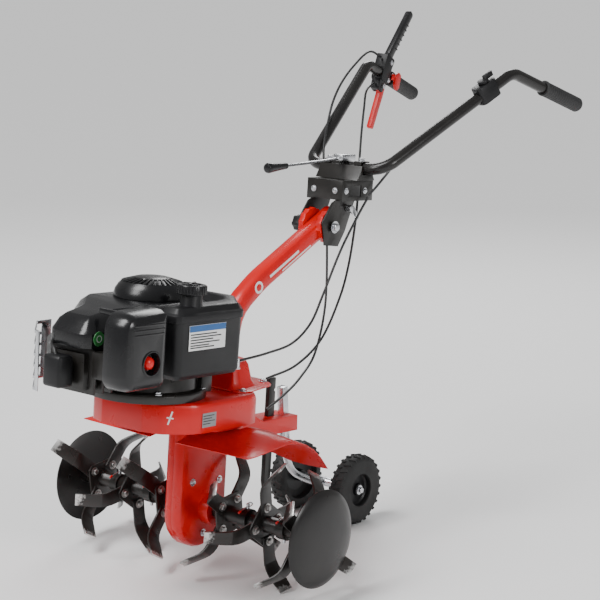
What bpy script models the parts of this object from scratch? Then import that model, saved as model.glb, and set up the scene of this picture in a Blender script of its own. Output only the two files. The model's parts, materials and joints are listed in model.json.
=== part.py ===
"""Walk-behind tiller, modelled level with the rotor axle as origin, then set down on its wheels and tines.

Machine axes: X to the machine's left, Y to the rear, Z up.
"""
import math

import bmesh
import bpy
from mathutils import Matrix, Vector

PITCH = math.radians(5.5)
AXLE_HEIGHT = 0.12969
FRAME_SHIFT_Y = -0.32756
SHEET = 0.002
GAP = 0.0003

TINE_RADIUS = 0.129
TINE_WIDTH = 0.030
TINE_THICK = 0.004
SET_X = (0.080, 0.174, 0.268)
HUB_SPANS = ((0.050, 0.127), (0.1275, 0.221), (0.2215, 0.300))
DISC_RADIUS = 0.094

CASE_HALF = 0.025
CASE_FRONT = -0.080
CASE_REAR = 0.056
CASE_LOW_R = 0.068
CASE_TOP = 0.1795

PAN_HALF = 0.130
PAN_TOP = 0.245
PAN_LOW = 0.188

CRANK_Y = -0.165
INPUT_Y = -0.012
SPROCKET_Z = 0.138
CHAIN_X = 0.0172
BELT_Z = 0.214
CRANK_PULLEY_R = 0.020
INPUT_PULLEY_R = 0.034

WHEEL_RADIUS = 0.0765
WHEEL_INNER = 0.063
WHEEL_OUTER = 0.099
WHEEL_Y = 0.408
WHEEL_Z = -0.0145

BAR_Y = 0.2505
BAR_Z = 0.150
BAR_LEAN = math.radians(9.0)

PIVOT_Y = 0.333
PIVOT_Z = 0.546
SWIVEL_Y = 0.410
BAR_TUBE_R = 0.0125
BAR_MID_Z = 0.668
BEND_TOP = Vector((0.196, 0.728, 0.886))
GRIP_END = Vector((0.228, 0.958, 0.824))

for thing in list(bpy.data.objects):
    bpy.data.objects.remove(thing, do_unlink=True)

body = bpy.data.collections.new("tiller")
tools = bpy.data.collections.new("tiller_cutters")
bpy.context.scene.collection.children.link(body)
bpy.context.scene.collection.children.link(tools)

root = bpy.data.objects.new("tiller_root", None)
root.location = (0.0, FRAME_SHIFT_Y, AXLE_HEIGHT)
root.rotation_euler = (-PITCH, 0.0, 0.0)
body.objects.link(root)


def material(name, colour, rough, metal):
    made = bpy.data.materials.new(name)
    made.use_nodes = True
    shader = made.node_tree.nodes["Principled BSDF"]
    shader.inputs["Base Color"].default_value = (*colour, 1.0)
    shader.inputs["Roughness"].default_value = rough
    shader.inputs["Metallic"].default_value = metal
    return made


RED = material("red_paint", (0.78, 0.02, 0.015), 0.32, 0.0)
RED_PLASTIC = material("red_plastic", (0.80, 0.03, 0.02), 0.45, 0.0)
BLACK_STEEL = material("black_painted_steel", (0.035, 0.032, 0.03), 0.38, 0.0)
BLACK_PLASTIC = material("black_plastic", (0.022, 0.021, 0.020), 0.42, 0.0)
RUBBER = material("black_rubber", (0.03, 0.028, 0.027), 0.75, 0.0)
ZINC = material("bright_zinc", (0.72, 0.73, 0.75), 0.25, 1.0)
STEEL = material("bare_steel", (0.45, 0.45, 0.46), 0.35, 1.0)
CAST = material("cast_aluminium", (0.30, 0.30, 0.31), 0.5, 0.9)
TUBE_GREY = material("dark_grey_tube", (0.07, 0.065, 0.062), 0.35, 0.2)
CABLE = material("cable_sheath", (0.03, 0.028, 0.027), 0.5, 0.0)


def finish(obj, mat, cutter=False, pivot=None):
    """Give an object its material, its collection, its parent and its origin."""
    for used in list(obj.users_collection):
        used.objects.unlink(obj)
    (tools if cutter else body).objects.link(obj)
    if cutter:
        obj.hide_render = True
        obj.display_type = "WIRE"
    if mat is not None and obj.data is not None:
        obj.data.materials.clear()
        obj.data.materials.append(mat)
    if pivot is not None:
        shift = Vector(pivot) - obj.location
        obj.data.transform(Matrix.Translation(-shift))
        obj.location = pivot
    obj.parent = root
    return obj


def solid(name, mesh, mat=None, cutter=False, pivot=None):
    obj = bpy.data.objects.new(name, mesh)
    bpy.context.scene.collection.objects.link(obj)
    return finish(obj, mat, cutter, pivot)


def from_bmesh(bm, name):
    bmesh.ops.recalc_face_normals(bm, faces=bm.faces)
    if bm.calc_volume(signed=True) < 0:
        bmesh.ops.reverse_faces(bm, faces=bm.faces)
    mesh = bpy.data.meshes.new(name)
    bm.to_mesh(mesh)
    bm.free()
    return mesh


def box(name, low, high, mat=None, cutter=False, bevel=0.0, segments=2):
    bm = bmesh.new()
    bmesh.ops.create_cube(bm, size=1.0)
    size = [high[i] - low[i] for i in range(3)]
    middle = [(high[i] + low[i]) / 2 for i in range(3)]
    bmesh.ops.scale(bm, vec=size, verts=bm.verts)
    bmesh.ops.translate(bm, vec=middle, verts=bm.verts)
    obj = solid(name, from_bmesh(bm, name), mat, cutter)
    if bevel > 0:
        soften(obj, bevel, segments)
    return obj


def soften(obj, width, segments=2, angle=40.0):
    mod = obj.modifiers.new("edges", "BEVEL")
    mod.width = width
    mod.segments = segments
    mod.limit_method = "ANGLE"
    mod.angle_limit = math.radians(angle)
    return mod


def rod(name, start, end, radius, mat=None, cutter=False, sides=24, radius_end=None):
    """A straight bar, or a cone when radius_end is given, between two points."""
    start = Vector(start)
    end = Vector(end)
    along = end - start
    bm = bmesh.new()
    bmesh.ops.create_cone(
        bm, cap_ends=True, segments=sides, radius1=radius,
        radius2=radius if radius_end is None else radius_end, depth=along.length,
    )
    turn = along.to_track_quat("Z", "Y").to_matrix().to_4x4()
    bm.transform(Matrix.Translation((start + end) / 2) @ turn)
    return solid(name, from_bmesh(bm, name), mat, cutter)


def turned(name, profile, centre, axis, mat=None, cutter=False, steps=32):
    """Spin (radius, height) pairs about an axis through centre; a profile that meets itself is a closed loop."""
    mesh = bpy.data.meshes.new(name)
    closed = profile[0] == profile[-1]
    points = [(r, 0.0, h) for r, h in (profile[:-1] if closed else profile)]
    edges = [(i, i + 1) for i in range(len(points) - 1)]
    if closed:
        edges.append((len(points) - 1, 0))
    mesh.from_pydata(points, edges, [])
    obj = bpy.data.objects.new(name, mesh)
    bpy.context.scene.collection.objects.link(obj)
    finish(obj, mat, cutter)
    spin = obj.modifiers.new("spin", "SCREW")
    spin.steps = steps
    spin.render_steps = steps
    spin.use_merge_vertices = True
    spin.merge_threshold = 0.00001
    obj.location = centre
    obj.rotation_euler = Vector(axis).to_track_quat("Z", "Y").to_euler()
    return obj


def rounded(corners, inset=0.0, steps=3):
    """Points round a counter-clockwise outline of (x, y, radius) corners, moved in by inset."""
    count = len(corners)
    lines = []
    for i in range(count):
        a = Vector(corners[i][:2])
        b = Vector(corners[(i + 1) % count][:2])
        along = (b - a).normalized()
        normal = Vector((-along.y, along.x))
        lines.append((a + normal * inset, along))
    points = []
    for i in range(count):
        before = lines[i - 1]
        after = lines[i]
        cross = before[1].x * after[1].y - before[1].y * after[1].x
        gap = after[0] - before[0]
        t = (gap.x * after[1].y - gap.y * after[1].x) / cross
        corner = before[0] + before[1] * t
        radius = corners[i][2] - inset if cross > 0 else corners[i][2] + inset
        radius = max(radius, 0.0008)
        half = math.atan2(abs(cross), before[1].dot(after[1])) / 2
        back = radius * math.tan(half)
        start = corner - before[1] * back
        side = 1.0 if cross > 0 else -1.0
        centre = start + Vector((-before[1].y, before[1].x)) * radius * side
        spoke = start - centre
        for k in range(steps + 1):
            turn = 2 * half * k / steps * side
            points.append((
                centre.x + spoke.x * math.cos(turn) - spoke.y * math.sin(turn),
                centre.y + spoke.x * math.sin(turn) + spoke.y * math.cos(turn),
            ))
    return points


def slab(name, outline, plane, low, high, mat=None, cutter=False, holes=()):
    """A flat outline given thickness between low and high along the axis normal to the plane."""
    data = bpy.data.curves.new(name, "CURVE")
    data.dimensions = "2D"
    data.fill_mode = "BOTH"
    data.extrude = (high - low) / 2
    for loop in (outline, *holes):
        spline = data.splines.new("POLY")
        spline.points.add(len(loop) - 1)
        for point, (u, v) in zip(spline.points, loop):
            point.co = (u, v, 0.0, 1.0)
        spline.use_cyclic_u = True
    carrier = bpy.data.objects.new(name + "_outline", data)
    bpy.context.scene.collection.objects.link(carrier)
    bpy.context.view_layer.update()
    mesh = bpy.data.meshes.new_from_object(carrier)
    bpy.data.objects.remove(carrier, do_unlink=True)
    middle = (high + low) / 2
    if plane == "xy":
        turn = Matrix.Identity(4)
        turn.translation = (0.0, 0.0, middle)
    elif plane == "yz":
        turn = Matrix(((0, 0, 1, middle), (1, 0, 0, 0), (0, 1, 0, 0), (0, 0, 0, 1)))
    else:
        turn = Matrix(((1, 0, 0, 0), (0, 0, -1, middle), (0, 1, 0, 0), (0, 0, 0, 1)))
    bm = bmesh.new()
    bm.from_mesh(mesh)
    bmesh.ops.remove_doubles(bm, verts=bm.verts, dist=0.00001)
    bm.transform(turn)
    return solid(name, from_bmesh(bm, name), mat, cutter)


def loft(name, rings, mat=None, cutter=False, cap_first=False, cap_last=False, thick=0.0):
    """Skin through rings of equal count; with thick set, the open skin gets that wall inward."""
    bm = bmesh.new()
    rows = [[bm.verts.new(p) for p in ring] for ring in rings]
    count = len(rings[0])
    for lower, upper in zip(rows, rows[1:]):
        for i in range(count):
            j = (i + 1) % count
            bm.faces.new((lower[i], lower[j], upper[j], upper[i]))
    if cap_first:
        bm.faces.new(rows[0][::-1])
    if cap_last:
        bm.faces.new(rows[-1])
    if cap_first and cap_last:
        mesh = from_bmesh(bm, name)
    else:
        mesh = bpy.data.meshes.new(name)
        bm.to_mesh(mesh)
        bm.free()
    obj = solid(name, mesh, mat, cutter)
    if thick:
        wall = obj.modifiers.new("wall", "SOLIDIFY")
        wall.thickness = thick
        wall.offset = -1.0
        wall.use_even_offset = True
    return obj


def level(outline, height):
    return [(x, y, height) for x, y in outline]


def fuse(base, *others):
    for other in others:
        finish(other, None, cutter=True)
        mod = base.modifiers.new("join", "BOOLEAN")
        mod.operation = "UNION"
        mod.solver = "EXACT"
        mod.object = other
    return base


def cut(base, *others):
    for other in others:
        finish(other, None, cutter=True)
        mod = base.modifiers.new("cut", "BOOLEAN")
        mod.operation = "DIFFERENCE"
        mod.solver = "EXACT"
        mod.object = other
    return base


def bake(obj):
    """Replace an object's mesh by its finished shape."""
    bpy.context.view_layer.update()
    graph = bpy.context.evaluated_depsgraph_get()
    mesh = bpy.data.meshes.new_from_object(obj.evaluated_get(graph), depsgraph=graph)
    obj.modifiers.clear()
    obj.data = mesh
    return obj


def tube(name, points, radius, mat, sides=2, pivot=None, cutter=False):
    """A round bar through the points, as a mesh with closed ends."""
    data = bpy.data.curves.new(name, "CURVE")
    data.dimensions = "3D"
    data.bevel_depth = radius
    data.bevel_resolution = sides
    data.use_fill_caps = True
    spline = data.splines.new("POLY")
    spline.points.add(len(points) - 1)
    for point, co in zip(spline.points, points):
        point.co = (*co, 1.0)
    carrier = bpy.data.objects.new(name + "_path", data)
    bpy.context.scene.collection.objects.link(carrier)
    bpy.context.view_layer.update()
    mesh = bpy.data.meshes.new_from_object(carrier)
    bpy.data.objects.remove(carrier, do_unlink=True)
    bm = bmesh.new()
    bm.from_mesh(mesh)
    bmesh.ops.remove_doubles(bm, verts=bm.verts, dist=0.00001)
    return solid(name, from_bmesh(bm, name), mat, cutter, pivot)


def smooth_path(knots, spacing):
    """Evenly spaced points on a Catmull-Rom curve through the knots."""
    knots = [Vector(k) for k in knots]
    knots = [knots[0] * 2 - knots[1]] + knots + [knots[-1] * 2 - knots[-2]]
    fine = []
    for i in range(1, len(knots) - 2):
        p0, p1, p2, p3 = knots[i - 1:i + 3]
        for k in range(40):
            t = k / 40
            fine.append(0.5 * (
                2 * p1 + (p2 - p0) * t + (2 * p0 - 5 * p1 + 4 * p2 - p3) * t * t
                + (3 * p1 - p0 - 3 * p2 + p3) * t * t * t
            ))
    fine.append(knots[-2])
    length = sum((b - a).length for a, b in zip(fine, fine[1:]))
    pieces = max(2, round(length / spacing))
    points = [fine[0]]
    step = length / pieces
    run = 0.0
    for a, b in zip(fine, fine[1:]):
        part = (b - a).length
        while run + part >= step * len(points) and len(points) < pieces:
            points.append(a.lerp(b, (step * len(points) - run) / part))
        run += part
    points.append(fine[-1])
    return points


def bent_path(corners, radii, steps=5):
    """Straight runs joined by round bends."""
    corners = [Vector(c) for c in corners]
    points = [corners[0]]
    for i in range(1, len(corners) - 1):
        into = (corners[i] - corners[i - 1]).normalized()
        out = (corners[i + 1] - corners[i]).normalized()
        half = into.angle(out) / 2
        back = radii[i - 1] * math.tan(half)
        start = corners[i] - into * back
        centre = corners[i] + (out - into).normalized() * radii[i - 1] / math.cos(half)
        axis = into.cross(out).normalized()
        spoke = start - centre
        for k in range(steps + 1):
            turned_spoke = Matrix.Rotation(2 * half * k / steps, 3, axis) @ spoke
            points.append(centre + turned_spoke)
    points.append(corners[-1])
    return points


def ring_points(radius, count, centre=(0.0, 0.0), start=0.0, sweep=2 * math.pi):
    return [
        (centre[0] + radius * math.cos(start + sweep * i / count),
         centre[1] + radius * math.sin(start + sweep * i / count))
        for i in range(count)
    ]


# ---- rotor -------------------------------------------------------------
axle = rod("rotor_axle", (-0.2995, 0, 0), (0.2995, 0, 0), 0.0115, STEEL, sides=20)
fuse(axle, rod("rotor_sprocket", (CHAIN_X - 0.003, 0, 0), (CHAIN_X + 0.003, 0, 0), 0.032, sides=28))


def tine_mesh(name, plate_x, angle, side):
    """A flat bar bolted at its root, then bowed sideways and trailing towards the tip."""
    root_r = 0.024
    flat = 0.046
    bow_r = 0.034
    bow = math.radians(52)
    tip = 0.044
    slant = math.radians(22)
    length = flat + bow_r * bow + tip
    rows = 7
    offset = side * (TINE_THICK * 0.9)
    grid = []
    for i in range(rows + 1):
        if i == 0:
            s = 0.0
        elif i <= 6:
            s = flat - 0.010 + (bow_r * bow + 0.020) * (i - 1) / 5
        else:
            s = flat + bow_r * bow + tip
        row = []
        for j in (-1, 1):
            t = j * TINE_WIDTH / 2
            if i == rows:
                t *= 0.9
            d = (s - flat) * math.cos(slant) + t * math.sin(slant)
            e = -(s - flat) * math.sin(slant) + t * math.cos(slant)
            if d <= 0:
                flat_d, out = d, 0.0
            elif d < bow_r * bow:
                flat_d = bow_r * math.sin(d / bow_r)
                out = bow_r * (1 - math.cos(d / bow_r))
            else:
                rest = d - bow_r * bow
                flat_d = bow_r * math.sin(bow) + rest * math.cos(bow)
                out = bow_r * (1 - math.cos(bow)) + rest * math.sin(bow)
            r = root_r + flat + flat_d * math.cos(slant) - e * math.sin(slant)
            w = flat_d * math.sin(slant) + e * math.cos(slant)
            row.append((plate_x + offset + side * out, r, w))
        grid.append(row)
    longest = max(math.hypot(p[1], p[2]) for row in grid for p in row)
    squeeze = (TINE_RADIUS - 0.001 - root_r) / (longest - root_r)
    bm = bmesh.new()
    verts = []
    for row in grid:
        line = []
        for x, r, w in row:
            r = root_r + (r - root_r) * squeeze
            y = r * math.cos(angle) - w * math.sin(angle)
            z = r * math.sin(angle) + w * math.cos(angle)
            line.append(bm.verts.new((x, y, z)))
        verts.append(line)
    for a, b in zip(verts, verts[1:]):
        bm.faces.new((a[0], a[1], b[1], b[0]))
    mesh = bpy.data.meshes.new(name)
    bm.to_mesh(mesh)
    bm.free()
    obj = solid(name, mesh, None, True)
    wall = obj.modifiers.new("plate", "SOLIDIFY")
    wall.thickness = TINE_THICK
    wall.offset = 0.0
    return obj


def tine_set(name, number, hand):
    plate_x = hand * SET_X[number]
    low, high = sorted(hand * v for v in HUB_SPANS[number])
    phase = math.radians(10.0 if number == 1 else 55.0)
    hub = slab(name, ring_points(0.0165, 12), "yz", low, high, BLACK_STEEL,
               holes=(ring_points(0.0126, 12),))
    square = [(0.038, -0.038, 0.008), (0.038, 0.038, 0.008), (-0.038, 0.038, 0.008), (-0.038, -0.038, 0.008)]
    turn = phase - math.pi / 4
    outline = [
        (u * math.cos(turn) - v * math.sin(turn), u * math.sin(turn) + v * math.cos(turn))
        for u, v in rounded(square, 0.0, 1)
    ]
    plate = slab(name + "_plate", outline, "yz", plate_x - 0.002, plate_x + 0.002,
                 holes=(ring_points(0.0150, 12),))
    parts = [plate]
    for k in range(4):
        if number == 1:
            side = -1 if k % 2 == 0 else 1
        else:
            side = -hand if k % 2 == 0 else hand
        angle = phase + k * math.pi / 2
        parts.append(tine_mesh("%s_tine_%d" % (name, k + 1), plate_x, angle, side))
    fuse(hub, *parts)
    return hub


for hand, word in ((1, "left"), (-1, "right")):
    for number in range(3):
        tine_set("tine_set_%s_%d" % (word, number + 1), number, hand)
    turned(
        "guard_disc_" + word,
        [(0.0, 0.0215), (0.028, 0.0209), (0.066, 0.0166), (DISC_RADIUS, 0.0080), (DISC_RADIUS, 0.0058), (0.066, 0.0144),
         (0.028, 0.0187), (0.0165, 0.0191), (0.0165, 0.0003), (0.0, 0.0003)],
        (hand * 0.3002, 0, 0), (hand, 0, 0), BLACK_STEEL, steps=26,
    )

# ---- chain case --------------------------------------------------------


def case_outline(inset):
    r = CASE_LOW_R - inset
    cy = (CASE_FRONT + CASE_REAR) / 2
    cz = -0.010
    points = [(CASE_REAR - inset, CASE_TOP), (CASE_FRONT + inset, CASE_TOP), (CASE_FRONT + inset, 0.09)]
    for i in range(13):
        turn = math.pi + math.pi * i / 12
        points.append((cy + r * math.cos(turn), cz + r * math.sin(turn)))
    points.append((CASE_REAR - inset, 0.09))
    return points


def case_half(name, hand):
    sections = ((0.0, 0.0), (0.0125, 0.0), (0.0210, 0.0045), (CASE_HALF, 0.0150))
    rings = [[(hand * max(x, GAP / 2), y, z) for y, z in case_outline(inset)] for x, inset in sections]
    if hand < 0:
        rings = [ring[::-1] for ring in rings]
    shell = loft(name, rings, RED, cap_last=True, thick=SHEET)
    drum = slab(name + "_drum", ring_points(0.0295, 28), "yz", *sorted((hand * 0.0235, hand * 0.0485)))
    fuse(bake(shell), drum)
    cut(shell, rod(name + "_bore", (hand * 0.01, 0, 0), (hand * 0.06, 0, 0), 0.0121, cutter=True, sides=20),
        rod(name + "_shaft_hole", (0, INPUT_Y, 0.16), (0, INPUT_Y, 0.19), 0.0105, cutter=True, sides=20))
    return shell


case_half("chain_case_left", 1)
case_half("chain_case_right", -1)


def loop_outline(centre_a, radius_a, centre_b, radius_b, steps=10):
    """Outline of a loop pulled tight round two circles; points run one way round."""
    a = Vector(centre_a)
    b = Vector(centre_b)
    across = b - a
    heading = math.atan2(across.y, across.x)
    lean = math.acos((radius_a - radius_b) / across.length)
    points = []
    for i in range(steps + 1):
        turn = heading + lean + (2 * math.pi - 2 * lean) * i / steps
        points.append((a.x + radius_a * math.cos(turn), a.y + radius_a * math.sin(turn)))
    for i in range(steps + 1):
        turn = heading - lean + 2 * lean * i / steps
        points.append((b.x + radius_b * math.cos(turn), b.y + radius_b * math.sin(turn)))
    return points


slab("drive_chain",
     loop_outline((0.0, 0.0), 0.0385, (INPUT_Y, SPROCKET_Z), 0.0245, 12), "yz", CHAIN_X - 0.0035, CHAIN_X + 0.0035, STEEL,
     holes=(loop_outline((0.0, 0.0), 0.0325, (INPUT_Y, SPROCKET_Z), 0.0185, 12),))
bevel = rod("bevel_sprocket", (-0.0215, INPUT_Y, SPROCKET_Z), (0.0215, INPUT_Y, SPROCKET_Z), 0.006, STEEL, sides=16)
fuse(bevel,
     rod("bevel_teeth", (CHAIN_X - 0.003, INPUT_Y, SPROCKET_Z), (CHAIN_X + 0.003, INPUT_Y, SPROCKET_Z), 0.018, sides=24),
     rod("bevel_cone", (-0.017, INPUT_Y, SPROCKET_Z), (-0.009, INPUT_Y, SPROCKET_Z), 0.017, sides=24,
         radius_end=0.010))
bake(bevel)
bevel.data.transform(Matrix.Translation((0, -INPUT_Y, -SPROCKET_Z)))
bevel.location = (0, INPUT_Y, SPROCKET_Z)

pulley = turned(
    "driven_pulley",
    [(0.0, 0.024), (0.008, 0.024), (0.008, 0.0085), (0.038, 0.0085),
     (0.038, 0.0055), (INPUT_PULLEY_R, 0.0055), (INPUT_PULLEY_R, -0.0055), (0.038, -0.0055),
     (0.038, -0.0085), (0.008, -0.0085), (0.008, -0.050), (0.0125, -0.0575), (0.0, -0.0575)],
    (0, INPUT_Y, BELT_Z), (0, 0, 1), CAST, steps=20,
)
slab("drive_belt",
     loop_outline((0.0, CRANK_Y), CRANK_PULLEY_R + 0.0068, (0.0, INPUT_Y), INPUT_PULLEY_R + 0.0068, 12),
     "xy", BELT_Z - 0.0050, BELT_Z + 0.0050, RUBBER,
     holes=(loop_outline((0.0, CRANK_Y), CRANK_PULLEY_R + 0.0008, (0.0, INPUT_Y),
                         INPUT_PULLEY_R + 0.0008, 12),))
turned(
    "crankshaft",
    [(0.0, 0.190), (0.084, 0.190), (0.084, 0.156), (0.0125, 0.156), (0.0125, 0.0085), (0.024, 0.0085),
     (0.024, 0.0055), (CRANK_PULLEY_R, 0.0055), (CRANK_PULLEY_R, -0.0055), (0.024, -0.0055),
     (0.024, -0.0085), (0.0, -0.0085)],
    (0, CRANK_Y, BELT_Z), (0, 0, 1), STEEL, steps=20,
)

IDLER = Vector((0.086, -0.045))
idler = slab("idler_arm", loop_outline((IDLER.x, IDLER.y), 0.010, (0.079, -0.100), 0.008, 6), "xy",
             BELT_Z + 0.0085, BELT_Z + 0.0115, ZINC)
fuse(idler,
     rod("idler_roller", (0.079, -0.100, BELT_Z - 0.006), (0.079, -0.100, BELT_Z + 0.009), 0.015),
     rod("idler_post", (IDLER.x, IDLER.y, BELT_Z + 0.009), (IDLER.x, IDLER.y, PAN_TOP - SHEET - 0.0006), 0.006,
         sides=16))
bake(idler)
idler.data.transform(Matrix.Translation((-IDLER.x, -IDLER.y, -BELT_Z)))
idler.location = (IDLER.x, IDLER.y, BELT_Z)

# ---- pan, floor frame, belt cover, fenders ------------------------------
PAN_CORNERS = (
    (-0.052, -0.230, 0.012), (0.052, -0.230, 0.012), (0.090, -0.216, 0.030), (PAN_HALF, -0.160, 0.060),
    (PAN_HALF, 0.034, 0.048), (-PAN_HALF, 0.034, 0.048), (-PAN_HALF, -0.160, 0.060), (-0.090, -0.216, 0.030),
)
pan_rings = [
    level(rounded(PAN_CORNERS, 0.0), PAN_LOW),
    level(rounded(PAN_CORNERS, 0.0), PAN_TOP - 0.010),
    level(rounded(PAN_CORNERS, 0.002), PAN_TOP - 0.0035),
    level(rounded(PAN_CORNERS, 0.0065), PAN_TOP),
]
pan = loft("engine_pan", pan_rings, RED, cap_last=True, thick=SHEET)
bake(pan)
cut(pan, rod("crank_hole", (0, CRANK_Y, 0.238), (0, CRANK_Y, 0.25), 0.028, cutter=True),
    rod("input_hole", (0, INPUT_Y, 0.238), (0, INPUT_Y, 0.25), 0.012, cutter=True))

FLOOR = ((-0.116, -0.095, 0.010), (0.116, -0.095, 0.010), (0.116, -0.008, 0.030), (0.050, 0.022, 0.015),
         (0.030, 0.034, 0.008), (0.030, 0.112, 0.004), (-0.030, 0.112, 0.004), (-0.030, 0.034, 0.008),
         (-0.050, 0.022, 0.015), (-0.116, -0.008, 0.030))
frame = slab("rear_frame", rounded(FLOOR, 0.0, 3), "xy", 0.1800, 0.1838, RED,
             holes=(ring_points(0.020, 20, (0.0, INPUT_Y)),))
web = slab("frame_web",
           [(0.0565, 0.1238), (0.2620, 0.1238), (0.2600, 0.1560), (0.150, 0.1560), (0.100, 0.1815), (0.0565, 0.1815)],
           "yz", -0.030, 0.030)
hollow = slab("frame_hollow",
              [(0.0400, 0.1100), (0.2800, 0.1100), (0.2800, 0.1525), (0.148, 0.1525), (0.098, 0.1795),
               (0.0400, 0.1795)], "yz", -0.0272, 0.0272, cutter=True)
fuse(frame, bake(cut(web, hollow)))


def leaned(x, along, across):
    """A point measured along and across the sloping transport bar."""
    return Vector((
        x,
        BAR_Y + across * math.cos(BAR_LEAN) - along * math.sin(BAR_LEAN),
        BAR_Z + along * math.cos(BAR_LEAN) + across * math.sin(BAR_LEAN),
    ))


def leaned_box(name, half_x, low, high, front_y, rear_y, cutter=True):
    corners = [leaned(x, along, across) for x in (-half_x, half_x) for along in (low, high)
               for across in (front_y, rear_y)]
    bm = bmesh.new()
    bmesh.ops.convex_hull(bm, input=[bm.verts.new(c) for c in corners])
    return solid(name, from_bmesh(bm, name), None, cutter)


cut(frame, leaned_box("bar_slot", 0.0088, -0.02, 0.04, -0.0088, 0.0088),
    box("spur_slot", (-0.0058, 0.1925, 0.11), (0.0058, 0.2145, 0.17), cutter=True))

wheel_bar = leaned_box("wheel_bar", 0.0080, -0.080, 0.064, -0.0080, 0.0080, cutter=False)
foot_start = leaned(0, -0.078, 0)
fork = tube("bar_foot", smooth_path([
    leaned(0, -0.060, 0), foot_start, (0, 0.288, 0.030), (0, 0.330, 0.006), (0, 0.376, WHEEL_Z + 0.004),
    (0, WHEEL_Y, WHEEL_Z)], 0.012), 0.0078, None, cutter=True)
fuse(wheel_bar, fork,
     rod("bar_axle", (-0.1005, WHEEL_Y, WHEEL_Z), (0.1005, WHEEL_Y, WHEEL_Z), 0.0058, sides=16),
     rod("bar_boss", (-0.0600, WHEEL_Y, WHEEL_Z), (0.0600, WHEEL_Y, WHEEL_Z), 0.0100, sides=20))
finish(wheel_bar, ZINC)

spur = slab("depth_spur",
            [(0.1935, 0.236), (0.1935, 0.020), (0.2035, -0.022), (0.2135, 0.020), (0.2135, 0.122), (0.2095, 0.126),
             (0.2135, 0.130), (0.2135, 0.150), (0.2095, 0.154), (0.2135, 0.158), (0.2135, 0.178), (0.2095, 0.182),
             (0.2135, 0.186), (0.2135, 0.206), (0.2095, 0.210), (0.2135, 0.214), (0.2135, 0.236)],
            "yz", -0.0050, 0.0050, BLACK_STEEL)

COVER_CORNERS = (
    (-0.100, -0.0235, 0.010), (0.100, -0.0235, 0.010), (0.112, 0.006, 0.020), (0.090, 0.100, 0.045), (0.040, 0.128, 0.040),
    (-0.040, 0.128, 0.040), (-0.090, 0.100, 0.045), (-0.112, 0.006, 0.020),
)
HUMP_CORNERS = (
    (-0.080, -0.014, 0.012), (0.080, -0.014, 0.012), (0.088, 0.006, 0.018), (0.076, 0.058, 0.030), (0.040, 0.088, 0.035),
    (-0.040, 0.088, 0.035), (-0.076, 0.058, 0.030), (-0.088, 0.006, 0.018),
)
cover_rings = [
    level(rounded(COVER_CORNERS, 0.0, 3), PAN_TOP + GAP),
    level(rounded(COVER_CORNERS, 0.0, 3), PAN_TOP + GAP + SHEET),
    level(rounded(HUMP_CORNERS, -0.003, 3), PAN_TOP + GAP + SHEET + 0.0005),
    level(rounded(HUMP_CORNERS, 0.004, 3), PAN_TOP + 0.014),
    level(rounded(HUMP_CORNERS, 0.012, 3), 0.289),
    level(rounded(HUMP_CORNERS, 0.017, 3), 0.296),
    level(rounded(HUMP_CORNERS, 0.024, 3), 0.298),
]
cover = loft("belt_cover", cover_rings, RED, cap_last=True)
inside = [
    level(rounded(HUMP_CORNERS, -0.001, 3), PAN_TOP - 0.004),
    level(rounded(HUMP_CORNERS, 0.0055, 3), PAN_TOP + 0.014),
    level(rounded(HUMP_CORNERS, 0.0135, 3), 0.288),
    level(rounded(HUMP_CORNERS, 0.022, 3), 0.2955),
]
bm = bmesh.new()
bm.from_mesh(cover.data)
bm.faces.new([v for v in bm.verts][:len(cover_rings[0])][::-1])
bm.to_mesh(cover.data)
bm.free()
cut(cover, loft("cover_hollow", inside, cutter=True, cap_first=True, cap_last=True))
cut(cover, rod("column_hole", (0, 0.056, 0.24), (0, 0.056, 0.32), 0.0290, cutter=True, sides=24))


def fender(name, hand):
    """A mudguard plate over the inner tines: level under the pan, then falling outward, forward and to the rear."""
    rows = 10
    across = (0.034, 0.075, 0.116, 0.134, 0.160, 0.188, 0.216)
    crowns = (0.1775, 0.1775, 0.1780, 0.1855, 0.1820, 0.1740, 0.1640)
    bm = bmesh.new()
    verts = []
    for i in range(rows + 1):
        u = i / rows
        row = []
        for x, crown in zip(across, crowns):
            v = (x - across[0]) / (across[-1] - across[0])
            end_y = 0.045 + 0.085 * max(0.0, (v - 0.45) / 0.55)
            y = -0.115 + (end_y + 0.115) * u
            front = 0.149 + 0.003 * v
            back = max(0.130 - 0.032 * v, math.sqrt(0.138 ** 2 - end_y ** 2))
            if u < 0.5:
                rise = u / 0.5
                z = front + (crown - front) * rise * rise * (3 - 2 * rise)
            else:
                z = crown - (crown - back) * ((u - 0.5) / 0.5) ** 2.2
            row.append(bm.verts.new((hand * x, y, z)))
        verts.append(row)
    for a, b in zip(verts, verts[1:]):
        for j in range(len(across) - 1):
            quad = (a[j], a[j + 1], b[j + 1], b[j])
            bm.faces.new(quad if hand > 0 else quad[::-1])
    mesh = bpy.data.meshes.new(name)
    bm.to_mesh(mesh)
    bm.free()
    obj = solid(name, mesh, RED)
    wall = obj.modifiers.new("wall", "SOLIDIFY")
    wall.thickness = 0.0016
    wall.offset = -1.0
    return obj


fender("fender_left", 1)
fender("fender_right", -1)

# ---- column and head -----------------------------------------------------
column_line = bent_path(
    [(0, 0.052, PAN_TOP + 0.004), (0, 0.058, 0.300), (0, 0.066, 0.385), (0, 0.140, 0.4405),
     (0, PIVOT_Y, PIVOT_Z), (0, 0.372, 0.5672)],
    [0.20, 0.085, 0.25, 0.50], 3)


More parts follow.
